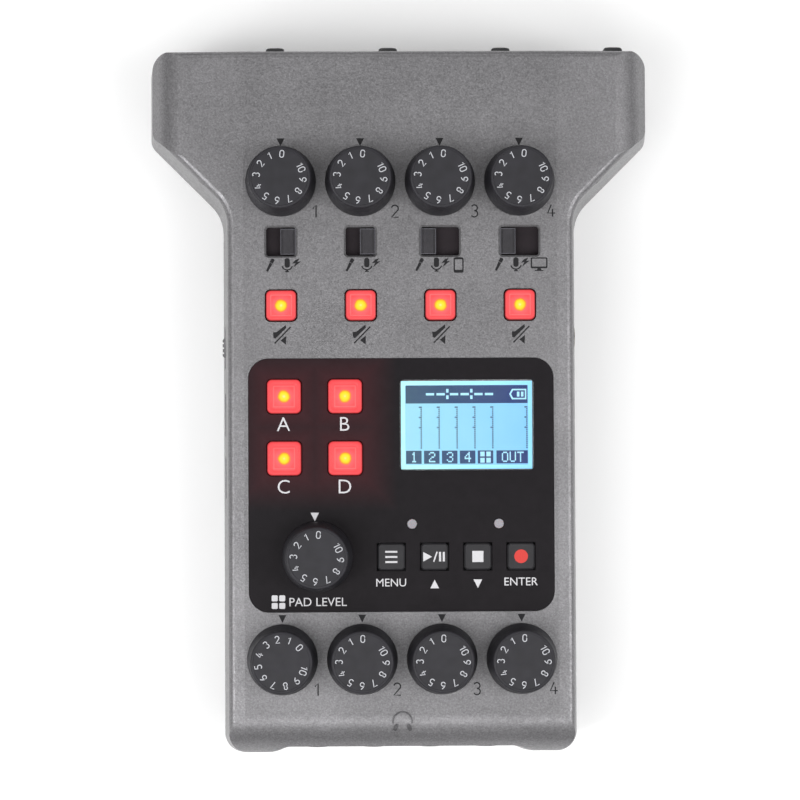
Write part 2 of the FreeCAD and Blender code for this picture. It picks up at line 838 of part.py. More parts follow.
def cut_ports(body):
    """Openings in the rear, front and side walls of the upper shell."""
    cut_rear_rounds(body)
    side = "latch_side + 2 * latch_gap"
    columns = [f"{channel_x(n, 'socket_pitch')} + latch_offset_x" for n in CHANNELS]
    latches = [(x, "latch_z", side, side) for x in columns]
    pressed = "latch_shoulder - latch_travel - latch_gap"
    hollow(body, "XZ", latches, pressed, "rear_y + overrun")
    jacks = [(channel_x(n, "jack_pitch"), "jack_z", "jack_hole_radius") for n in CHANNELS]
    flat_bore(body, "XZ", jacks, COLLAR_SIDES, "-front_y - overrun", "recess_depth + 2 * wall - front_y")
    through = "cavity_inset + wall + overrun"
    left = new_outline(body, "YZ", "-body_half - overrun")
    for y in ("usb_first_y", "usb_second_y"):
        sides = "usb_width + 2 * usb_hole_gap", "usb_height + 2 * usb_hole_gap"
        draw_bevelled(left, y, "usb_z", *sides, "usb_bevel")
    draw_rectangle(left, "power_y", "power_z", "power_slot_length", "power_slot_height")
    add_cut(body, left, through)
    right = new_outline(body, "YZ", "body_half - cavity_inset - wall")
    slot = "card_slot_width + 2 * card_hole_gap", "card_slot_height + 2 * card_hole_gap"
    draw_rectangle(right, "card_y", "card_z", *slot)
    draw_ring(right, "phone_jack_y", "jack_z", "jack_hole_radius", COLLAR_SIDES)
    add_cut(body, right, through)
    hatch = new_outline(body, "YZ", "hatch_recess_x")
    middle, height = "(hatch_low_z + hatch_top_z) / 2", "hatch_top_z - hatch_low_z + 2 * hatch_gap"
    draw_rectangle(hatch, "card_y", middle, "hatch_length + 2 * hatch_gap", height)
    add_cut(body, hatch, "body_half - hatch_recess_x + overrun")
    reach = "hatch_length / 2 + hatch_pin_length + hatch_gap"
    pins = new_outline(body, "XZ", high=f"card_y + {reach}")
    draw_circle(pins, "hatch_pivot_x", "hatch_pivot_z", "hatch_pin_hole_radius")
    add_cut(body, pins, f"2 * ({reach})")


def bottom_case():
    """Lower shell with the battery bay, screw columns and lower halves of the rear openings."""
    body = new_body("bottom_case")
    case_shell(body, "parting_z - floor_z", down=True)
    soften(body, "foot_rim_bevel", at_height("floor_z"), "Chamfer")
    cavity = new_outline(body, "XY", "parting_z")
    draw_polygon(cavity, cavity_points())
    add_cut(body, cavity, "parting_z - floor_z - wall", down=True)
    columns = [(x, y, "column_radius") for x, y in SCREW_PLACES]
    post(body, "XY", columns, SMALL_SIDES, "floor_z + sink", "parting_z")
    width = "2 * bay_frame_half"
    frame = ("0", "-(cover_lip_inner + cover_rear) / 2", width, "cover_lip_inner - cover_rear + bay_frame_margin")
    block(body, "XY", [frame], "floor_z + sink", "bay_frame_z")
    outer = "2 * (bay_half + bay_wall)", "bay_front - bay_rear + 2 * bay_wall"
    tub = ("0", "-(bay_front + bay_rear) / 2", *outer)
    block(body, "XY", [tub], "floor_z + sink", "bay_roof_z + bay_wall")
    stop = ("0", "cover_stop_wall / 2 - cover_lip_inner + cover_gap", width, "cover_stop_wall")
    block(body, "XY", [stop], "floor_z + sink", "cover_lip_z + cover_gap + cover_stop_wall")
    heads = [(x, y, "counterbore_radius") for x, y in SCREW_PLACES]
    bore(body, "XY", heads, "0", "screw_seat_z")
    shanks = [(x, y, "clearance_radius") for x, y in SCREW_PLACES]
    flat_bore(body, "XY", shanks, SMALL_SIDES, "0", "parting_z + overrun")
    cut_rear_rounds(body)
    cut_bay(body)


def cut_bay(body):
    """Battery bay, the grooves that the cover slides in and the front gap for its lip."""
    end, start = "-front_y - overrun", "-cover_rear"
    mouth = ("0", f"(({end}) + ({start})) / 2", "2 * (cover_half + cover_gap)", f"({start}) - ({end})")
    hollow(body, "XY", [mouth], "0", "cover_step_z - cover_gap")
    groove = (*mouth[:2], "2 * (cover_tongue_half + cover_gap)", mouth[3])
    hollow(body, "XY", [groove], "cover_step_z - cover_gap", "cover_plate_z + cover_gap")
    rear = "cover_gap - cover_lip_inner"
    gap = (groove[0], f"(({end}) + ({rear})) / 2", groove[2], f"({rear}) - ({end})")
    hollow(body, "XY", [gap], "cover_plate_z", "cover_lip_z + cover_gap")
    bay = ("0", "-(bay_front + bay_rear) / 2", "2 * bay_half", "bay_front - bay_rear")
    hollow(body, "XY", [bay], "cover_plate_z", "bay_roof_z")


def battery_cover():
    """Sliding cover that carries the lower front edge of the case with it."""
    body = new_body("battery_cover")
    case_shell(body, "parting_z - floor_z", down=True)
    soften(body, "foot_rim_bevel", at_height("floor_z"), "Chamfer")
    far = "3 * head_half"
    behind = [("0", "front_y - cover_lip_inner", far, "2 * front_y")]
    hollow(body, "XY", behind, "cover_plate_z", "parting_z")
    hollow(body, "XY", [("0", "0", far, far)], "cover_lip_z", "parting_z")
    hollow(body, "XY", [("0", "front_y - cover_rear", far, "2 * front_y")], "0", "parting_z")
    beside = "(cover_tongue_half + head_half) / 2 + overrun"
    width = "head_half - cover_tongue_half + 2 * overrun"
    sides = [(f"{side} * ({beside})", "0", width, far) for side in (1, -1)]
    hollow(body, "XY", sides, "0", "parting_z")
    ledge = "(cover_half + cover_tongue_half) / 2 + overrun / 2"
    width = "cover_tongue_half - cover_half + overrun"
    steps = [(f"{side} * ({ledge})", "0", width, far) for side in (1, -1)]
    hollow(body, "XY", steps, "0", "cover_step_z")
    grips = [("0", f"grip_y + {n} * grip_pitch", "grip_length", "grip_width") for n in (-1, 0, 1)]
    hollow(body, "XY", grips, "0", "floor_z + grip_depth")


def control_panel():
    """Glossy inset plate round the pads, display and keys."""
    body = new_body("control_panel")
    width, depth = "2 * (panel_half - panel_gap)", "panel_rear + panel_front - 2 * panel_gap"
    low, high = "panel_floor_z + seat_gap", "panel_top_z"
    block(body, "XY", [("0", "(panel_rear - panel_front) / 2", width, depth)], low, high)
    soften(body, "panel_radius - panel_gap", rises)
    pad = "pad_side + 2 * button_gap"
    key = "key_width + 2 * button_gap", "key_depth + 2 * button_gap"
    shapes = [(x, y, pad, pad) for x, y in PAD_PLACES.values()]
    shapes += [(x, y, *key) for x, y in KEY_PLACES.values()]
    shapes.append(("window_x", "window_y", "window_width", "window_depth"))
    hollow(body, "XY", shapes, "panel_floor_z", "top_z")
    rounds = [(x, y, "indicator_radius + panel_gap") for x, y in INDICATOR_PLACES]
    rounds.append(("level_x", "level_y", "stem_hole_radius"))
    flat_bore(body, "XY", rounds, SMALL_SIDES, "panel_floor_z", "top_z")


def display():
    """Clear window, and the display behind it with its raised glass."""
    lens = new_body("display_lens")
    clear = "window_width - panel_gap", "window_depth - panel_gap"
    block(lens, "XY", [("window_x", "window_y", *clear)], "panel_floor_z + seat_gap", "panel_top_z")
    module = new_body("lcd_module")
    back = "window_width + 2 * lcd_margin", "window_depth + 2 * lcd_margin"
    block(module, "XY", [("window_x", "window_y", *back)], "board_top_z + seat_gap", "pot_top_z")
    glass = "window_width - 2 * lcd_gap", "window_depth - 2 * lcd_gap"
    block(module, "XY", [("window_x", "window_y", *glass)], "pot_top_z - sink", "panel_floor_z - lcd_gap / 2")


def boards():
    """Main board under the controls and the upright board behind the microphone sockets."""
    body = new_body("main_board")
    half = [
        ("board_half", "-board_front"),
        ("board_half", "-board_ear_front"),
        ("board_ear_half", "-board_ear_front"),
        ("board_ear_half", "board_ear_rear"),
        ("board_half", "board_ear_rear"),
        ("board_half", "board_neck_rear"),
        ("board_head_half", "board_neck_rear + board_head_half - board_half"),
        ("board_head_half", "board_rear"),
    ]
    outline = new_outline(body, "XY", "board_z")
    draw_polygon(outline, half + [(f"-{x}", y) for x, y in reversed(half)])
    add_pad(body, outline, "board_top_z - board_z")
    upright = new_body("xlr_board")
    height = "xlr_board_top_z - xlr_board_low_z"
    place = "0", "(xlr_board_top_z + xlr_board_low_z) / 2"
    block(upright, "XZ", [(*place, "2 * xlr_board_half", height)], "xlr_board_front", "xlr_board_rear")


def contact_places():
    """The three contact positions of a microphone socket, about its centre."""
    turns = (30, 150, 270)
    return [(f"contact_circle * cos({turn})", f"contact_circle * sin({turn})") for turn in turns]


def xlr_sockets():
    """Four microphone sockets, each a shell and the insert that stands in it, and their contacts."""
    for channel in CHANNELS:
        body = new_body(f"xlr_socket_{channel}", channel_x(channel, "socket_pitch"), "0", "socket_z")
        post(body, "XZ", [("0", "0", "socket_radius")], SOCKET_SIDES, "socket_back", "socket_face")
        mouth = [("0", "0", "groove_radius")]
        flat_bore(body, "XZ", mouth, SOCKET_SIDES, "socket_back - overrun", "socket_face + overrun")
        base = [("0", "0", "groove_radius - seat_gap")]
        post(body, "XZ", base, SOCKET_SIDES, "socket_back", "groove_floor")
        insert = [("0", "0", "insert_radius")]
        post(body, "XZ", insert, SOCKET_SIDES, "groove_floor - sink", "insert_face")
        holes = [(x, z, "contact_hole_radius") for x, z in contact_places()]
        flat_bore(body, "XZ", holes, HOLE_SIDES, "socket_back - overrun", "insert_face + overrun")
        notch = [("0", "-insert_radius", "notch_width", "2 * notch_depth")]
        hollow(body, "XZ", notch, "groove_floor", "insert_face + overrun")
    pins = new_body("xlr_contacts")
    blades = [
        (f"{channel_x(channel, 'socket_pitch')} + {x}", f"socket_z + {z}", "contact_side", "contact_side")
        for channel in CHANNELS
        for x, z in contact_places()
    ]
    block(pins, "XZ", blades, "contact_back", "contact_tip")


def xlr_latches():
    """Four release tabs that stand out of the rear wall, each on its arm."""
    tip = size_of("latch_tip")
    for channel in CHANNELS:
        x = f"{channel_x(channel, 'socket_pitch')} + latch_offset_x"
        body = new_body(f"xlr_latch_{channel}", x, "0", "latch_z")
        block(body, "XZ", [("0", "0", "latch_side", "latch_side")], "latch_shoulder", "latch_tip")
        soften(body, "latch_bevel", lambda box: abs(box.YMin - tip) < 0.01, "Chamfer")
        block(body, "XZ", [("0", "0", "latch_arm", "latch_arm")], "latch_arm_end", "latch_shoulder + sink")


def headphone_jacks():
    """Four small jack sockets along the front edge."""
    for channel in CHANNELS:
        body = new_body(f"headphone_jack_{channel}", channel_x(channel, "jack_pitch"), "0", "jack_z")
        sides = "jack_block_side", "jack_block_height"
        block(body, "XZ", [("0", "0", *sides)], "-jack_block_face", "-jack_block_back")
        collar = ("0", "0", "jack_collar_radius")
        post(body, "XZ", [collar], COLLAR_SIDES, "-jack_face", "sink - jack_block_face")
        mouth = [("0", "0", "jack_bore_radius")]
        bore(body, "XZ", mouth, "-jack_face - overrun", "jack_bore_length - jack_face")


def side_ports():
    """Phone jack and card slot on the right, two charging and data ports on the left."""
    jack = new_body("phone_jack", "0", "phone_jack_y", "jack_z")
    sides = "jack_block_side", "jack_block_height"
    block(jack, "YZ", [("0", "0", *sides)], "phone_block_back", "phone_block_face")
    collar = ("0", "0", "jack_collar_radius")
    post(jack, "YZ", [collar], COLLAR_SIDES, "phone_block_face - sink", "phone_jack_face")
    deep = "phone_jack_face - jack_bore_length"
    bore(jack, "YZ", [("0", "0", "jack_bore_radius")], deep, "phone_jack_face + overrun")
    ports = new_body("usb_ports")
    shell = new_outline(ports, "YZ", "-usb_face")
    inside = new_outline(ports, "YZ", "-usb_face - overrun")
    thin = "2 * usb_wall"
    centres = [("usb_first_y", "usb_z"), ("usb_second_y", "usb_z")]
    for centre in centres:
        draw_bevelled(shell, *centre, "usb_width", "usb_height", "usb_bevel")
        draw_bevelled(inside, *centre, f"usb_width - {thin}", f"usb_height - {thin}", "usb_bevel - usb_wall / 2")
    add_pad(ports, shell, "usb_face - usb_back")
    add_cut(ports, inside, "usb_face - usb_pocket_floor + overrun")
    tongues = [(*centre, "usb_tongue_width", "usb_tongue_height") for centre in centres]
    block(ports, "YZ", tongues, "-usb_tongue_face", "sink - usb_pocket_floor")
    card = new_body("card_socket")
    height = "board_z - seat_gap - card_block_low_z"
    middle = f"card_block_low_z + ({height}) / 2"
    block(card, "YZ", [("card_y", middle, "card_block_width", height)], "card_block_back", "card_block_face")
    slot = ("card_y", "card_z", "card_slot_width", "card_slot_height")
    hollow(card, "YZ", [slot], "card_slot_floor", "card_block_face + overrun")


def card_cover():
    """Hinged cover of the card slot, flush with the drafted side wall, with its hinge pins."""
    body = new_body("card_cover", "0", "card_y")
    section = new_outline(body, "XZ", "-hatch_length / 2", "hatch_length / 2")
    wall_x = "body_half - ({z} - parting_z) * tan(side_draft)"
    corners = [
        ("hatch_back", "hatch_low_z"),
        (wall_x.format(z="hatch_low_z"), "hatch_low_z"),
        (wall_x.format(z="hatch_top_z"), "hatch_top_z"),
        ("hatch_back", "hatch_top_z"),
    ]
    draw_polygon(section, corners)
    add_pad(body, section, "hatch_length")
    low, back = size_of("hatch_low_z"), size_of("hatch_back")
    soften(body, "hatch_inner_bevel", lambda box: box.ZMax < low + 0.01 and box.XMax < back + 0.01, "Chamfer")
    soften(body, "hatch_outer_bevel", lambda box: box.ZMax < low + 0.01 and box.XMin > back + 1, "Chamfer")
    reach = "hatch_length / 2 + hatch_pin_length"
    pins = new_outline(body, "XZ", high=reach)
    draw_circle(pins, "hatch_pivot_x", "hatch_pivot_z", "hatch_pin_radius")
    add_pad(body, pins, f"2 * ({reach})")


def power_switch():
    """Slider of the power switch, in its slot in the left wall."""
    body = new_body("power_switch", "0", "power_y", "power_z")
    cap = ("0", "0", "power_cap_length", "power_cap_height")
    block(body, "YZ", [cap], "-power_cap_face", "-power_cap_back")
    face = size_of("-power_cap_face")
    soften(body, "power_cap_bevel", lambda box: abs(box.XMax - face) < 0.01, "Chamfer")
    ribs = [(f"{n} * power_rib_pitch", "0", "power_rib_width", "power_cap_height + overrun") for n in (-1, 0, 1)]
    hollow(body, "YZ", ribs, "-power_cap_face - overrun", "power_rib_depth - power_cap_face")
    stem = ("0", "0", "power_stem", "power_stem")
    block(body, "YZ", [stem], "-power_cap_back - sink", "-power_stem_end")


def knob(label, x, y):
    """Knob with a tapered grip, a flat face and a round stem."""
    body = new_body(label, x, y)
    grip = new_outline(body, "XY", "knob_foot_z")
    draw_ring(grip, "0", "0", "knob_radius", KNOB_SIDES)
    add_pad(body, grip, "knob_top_z - knob_foot_z")
    add_draft(body, "knob_draft", "knob_foot_z")
    soften(body, "knob_bevel", at_height("knob_top_z"), "Chamfer")
    stem = new_outline(body, "XY", "stem_foot_z")
    draw_circle(stem, "0", "0", "stem_radius")
    add_pad(body, stem, "knob_foot_z + sink - stem_foot_z")


def lit_button(label, x, y, side):
    """Hollow translucent button with a flange that keeps it under the lid."""
    body = new_body(label, x, y)
    block(body, "XY", [("0", "0", side, side)], "button_foot_z", "button_top_z")
    soften(body, "button_corner", rises, "Chamfer")
    soften(body, "button_bevel", at_height("button_top_z"), "Chamfer")
    flange = f"{side} + 2 * flange_reach"
    block(body, "XY", [("0", "0", flange, flange)], "flange_low_z", "flange_top_z")
    inside = f"{side} - 2 * button_wall"
    hollow(body, "XY", [("0", "0", inside, inside)], "button_foot_z - overrun", "button_top_z - button_skin")


def key(label, x, y):
    """Small square key with a flange and a pin that presses its switch."""
    body = new_body(label, x, y)
    block(body, "XY", [("0", "0", "key_width", "key_depth")], "flange_low_z", "key_top_z")
    soften(body, "button_corner", rises, "Chamfer")
    soften(body, "key_bevel", at_height("key_top_z"), "Chamfer")
    flange = ("0", "0", "key_width + 2 * flange_reach", "key_depth + 2 * flange_reach")
    block(body, "XY", [flange], "flange_low_z", "flange_top_z")
    pin = ("0", "0", "key_pin_side", "key_pin_side")
    block(body, "XY", [pin], "key_pin_z", "flange_low_z + sink")


def input_switch(channel):
    """Slider of a channel's input switch, with two finger grooves."""
    rest = slot_of(channel)[1]
    body = new_body(f"input_switch_{channel}", f"{channel_x(channel)} + {rest}", "switch_y")
    block(body, "XY", [("0", "0", "slider_width", "slider_depth")], "slider_low_z", "slider_top_z")
    grooves = [(f"{side} * groove_offset", "0", "groove_width", "slider_depth + overrun") for side in (1, -1)]
    hollow(body, "XY", grooves, "slider_top_z - groove_depth", "slider_top_z + overrun")
    block(body, "XY", [("0", "0", "slider_stem", "slider_stem")], "slider_stem_z", "slider_low_z + sink")


def inner_parts():
    """Potentiometers, switch bodies and lamps on the main board."""
    low = "board_top_z + seat_gap"
    pots = new_body("potentiometers")
    block(pots, "XY", [(x, y, "pot_side", "pot_side") for x, y in KNOB_PLACES.values()], low, "pot_top_z")
    rotors = [(x, y, "rotor_bore_radius") for x, y in KNOB_PLACES.values()]
    flat_bore(pots, "XY", rotors, SMALL_SIDES, "board_top_z", "pot_top_z + overrun")
    bodies = new_body("slide_switch_bodies")
    lengths = {n: "switch_body_short" if n < 3 else "switch_body_long" for n in CHANNELS}
    boxes = [(channel_x(n), "switch_y", lengths[n], "switch_body_depth") for n in CHANNELS]
    block(bodies, "XY", boxes, low, "switch_body_z")
    run = "{slot} - slider_width + switch_slot_width"
    slots = [(channel_x(n), "switch_y", run.format(slot=slot_of(n)[0]), "switch_slot_width") for n in CHANNELS]
    hollow(bodies, "XY", slots, "switch_slot_floor_z", "switch_body_z + overrun")
    height = "board_z - seat_gap - power_body_low_z"
    middle = f"power_body_low_z + ({height}) / 2"
    block(bodies, "YZ", [("power_y", middle, "power_body_length", height)], "-power_body_face", "-power_body_back")
    slit = ("power_y", "power_z", "power_body_slot_length", "power_body_slot_height")
    hollow(bodies, "YZ", [slit], "-power_body_face - overrun", "-power_body_slot_floor")
    tacts = new_body("tact_switches")
    block(tacts, "XY", [(x, y, "tact_side", "tact_side") for x, y in KEY_PLACES.values()], low, "tact_top_z")
    pins = [(x, y, "tact_bore_side", "tact_bore_side") for x, y in KEY_PLACES.values()]
    hollow(tacts, "XY", pins, "tact_bore_z", "tact_top_z + overrun")
    lamps = new_body("button_leds")
    places = [(channel_x(n), "mute_y") for n in CHANNELS] + list(PAD_PLACES.values())
    block(lamps, "XY", [(x, y, "lamp_side", "lamp_side") for x, y in places], low, "board_top_z + lamp_height")
    lenses = new_body("indicator_lenses")
    rounds = [(x, y, "indicator_radius") for x, y in INDICATOR_PLACES]
    post(lenses, "XY", rounds, SMALL_SIDES, "board_top_z + lens_lift", "panel_top_z")


def battery_parts():
    """Two cells side by side and the contacts at both ends of the bay."""
    cells = new_body("battery_cells")
    half = "cell_length / 2"
    rounds = new_outline(cells, "YZ", f"-{half}")
    for y in ("cell_front_y", "cell_rear_y"):
        draw_ring(rounds, y, "cell_z", "cell_radius", CELL_SIDES)
    add_pad(cells, rounds, "cell_length")
    nub = "cell_nub_side", "cell_nub_side"
    block(cells, "YZ", [("cell_front_y", "cell_z", *nub)], f"{half} - sink", f"{half} + cell_nub_length")
    block(cells, "YZ", [("cell_rear_y", "cell_z", *nub)], f"-{half} - cell_nub_length", f"sink - {half}")
    contacts = new_body("battery_contacts")
    side, ends = "contact_plate_side", ("cell_front_y", "cell_rear_y")
    plates = [(y, "cell_z", side, side) for y in ends]
    block(contacts, "YZ", plates, "bay_half - contact_plate - seat_gap", "bay_half - seat_gap")
    block(contacts, "YZ", plates, "seat_gap - bay_half", "contact_plate + seat_gap - bay_half")
    spring = "contact_spring_side", "contact_spring_side"
    front, rear = [("cell_front_y", "cell_z", *spring)], [("cell_rear_y", "cell_z", *spring)]
    block(contacts, "YZ", front, "contact_plate - bay_half", f"-{half} - contact_gap")
    block(contacts, "YZ", rear, f"{half} + contact_gap", "bay_half - contact_plate")


def feet_and_screws():
    """Rubber feet under the corners and the screws that hold the case together."""
    feet = new_body("rubber_feet")
    places = (("screw_body_x", "foot_front_y"), ("foot_rear_x", "foot_rear_y"))
    pads = [(f"{side} * {x}", y, "foot_width", "foot_length") for x, y in places for side in (1, -1)]
    block(feet, "XY", pads, "0", "floor_z")
    soften(feet, "foot_corner", rises, "Chamfer")
    screws = new_body("case_screws")
    low = "screw_seat_z - screw_head_height"
    heads = [(x, y, "screw_head_radius") for x, y in SCREW_PLACES]
    post(screws, "XY", heads, SMALL_SIDES, low, "screw_seat_z")
    shanks = [(x, y, "screw_radius") for x, y in SCREW_PLACES]
    post(screws, "XY", shanks, SMALL_SIDES, low, "screw_tip_z")


top_case()
bottom_case()
control_panel()
display()
boards()
xlr_sockets()
headphone_jacks()
side_ports()
inner_parts()
battery_parts()
feet_and_screws()
for label, (x, y) in KNOB_PLACES.items():
    knob(label, x, y)
for channel in CHANNELS:
    input_switch(channel)
    lit_button(f"mute_button_{channel}", channel_x(channel), "mute_y", "mute_side")
for label, (x, y) in PAD_PLACES.items():
    lit_button(label, x, y, "pad_side")
for label, (x, y) in KEY_PLACES.items():
    key(label, x, y)
power_switch()
battery_cover()
card_cover()
xlr_latches()

doc.recompute()
for item in doc.Objects:
    if "Invalid" in item.State or "Error" in item.State:
        raise RuntimeError(f"{item.Label} is {item.State}")
for body in sub_parts:
    if body.Shape.isNull() or not body.Shape.isValid():
        raise RuntimeError(f"{body.Label} has no valid shape")

os.makedirs("parts", exist_ok=True)
for body in sub_parts:
    body.Shape.exportStep(f"parts/{body.Label}.step")
print(len(sub_parts), "sub-parts written")
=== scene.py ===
import logging
import math
from collections.abc import Callable, Iterable, Sequence
from dataclasses import dataclass, field
from enum import Enum

import bmesh
import bpy
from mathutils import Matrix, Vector
from mathutils.geometry import tessellate_polygon


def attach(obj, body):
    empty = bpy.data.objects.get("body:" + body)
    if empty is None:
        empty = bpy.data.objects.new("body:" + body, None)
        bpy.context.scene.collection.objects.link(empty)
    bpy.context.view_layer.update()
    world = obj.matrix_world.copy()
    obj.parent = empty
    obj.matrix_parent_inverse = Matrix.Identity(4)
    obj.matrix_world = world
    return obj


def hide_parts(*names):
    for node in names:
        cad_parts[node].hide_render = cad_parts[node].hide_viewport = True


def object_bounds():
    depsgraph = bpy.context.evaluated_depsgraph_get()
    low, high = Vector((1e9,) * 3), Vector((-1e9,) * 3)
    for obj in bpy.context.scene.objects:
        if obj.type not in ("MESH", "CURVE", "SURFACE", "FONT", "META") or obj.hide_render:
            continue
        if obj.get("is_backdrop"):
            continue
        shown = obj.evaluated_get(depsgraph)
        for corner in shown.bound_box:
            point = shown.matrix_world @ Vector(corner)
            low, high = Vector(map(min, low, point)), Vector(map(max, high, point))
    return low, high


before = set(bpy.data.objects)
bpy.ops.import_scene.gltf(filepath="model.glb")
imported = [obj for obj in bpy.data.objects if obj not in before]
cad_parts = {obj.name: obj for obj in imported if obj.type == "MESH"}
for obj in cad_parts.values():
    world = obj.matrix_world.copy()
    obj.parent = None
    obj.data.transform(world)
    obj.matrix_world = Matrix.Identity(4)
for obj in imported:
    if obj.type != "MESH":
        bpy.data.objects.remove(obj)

LOG = logging.getLogger("recorder")

# One millimetre in metres. Sizes and places are in millimetres unless the text beside them says otherwise.
MM = 0.001
THIN = 0.01
FILM = 0.015
SOFT_EDGE = 40.0
DROP_HEIGHT = 100.0
GAP_DEPTH = 4.0
CHANNELS = (1, 2, 3, 4)
COLUMNS = (-26.25, -8.75, 8.75, 26.25)
GAIN_Y = 48.1
MUTE_Y = 20.8
PHONES_Y = -56.9
PADS = (("a", -25.7, 0.8), ("b", -12.3, 0.8), ("c", -25.7, -12.8), ("d", -12.3, -12.8))
LEVEL_KNOB = (-18.5, -34.4)
FIRST_KEY_X = -2.3
KEY_PITCH = 9.5
CASE_TOP = 36.5
PANEL_TOP = 36.4
QUARTERS = ((1, 1), (-1, 1), (-1, -1), (1, -1))

Point2 = tuple[float, float]
Point3 = tuple[float, float, float]
Box = tuple[float, float, float, float]
Colour = tuple[float, float, float]
Face = tuple[int, ...]
Skin = tuple[list[Point3], list[Face]]
Placer = Callable[[float, float, float], Point3]
Output = bpy.types.NodeSocket


def linear(red: int, green: int, blue: int) -> Colour:
    """Turns screen values into the linear colour that a shader takes.

    Args:
        red: Screen value from 0 to 255.
        green: Screen value from 0 to 255.
        blue: Screen value from 0 to 255.

    Returns:
        The same colour in linear light.
    """
    shares = (value / 255 for value in (red, green, blue))
    return tuple(s / 12.92 if s < 0.04045 else ((s + 0.055) / 1.055) ** 2.4 for s in shares)


def scaled(colour: Colour, share: float) -> Colour:
    """Returns the colour made lighter or darker by the share."""
    return tuple(min(1.0, channel * share) for channel in colour)


class Anchor(Enum):
    """Which point of a line of lettering its place gives."""

    MIDDLE = "middle"
    LEFT = "left"


class KeySign(Enum):
    """The signs on the four flat keys."""

    MENU = "menu"
    PLAY = "play"
    STOP = "stop"
    RECORD = "record"


class InputSign(Enum):
    """What a channel can be switched to, beside its microphone."""

    NONE = "none"
    HANDSET = "handset"
    COMPUTER = "computer"


# Shader graphs


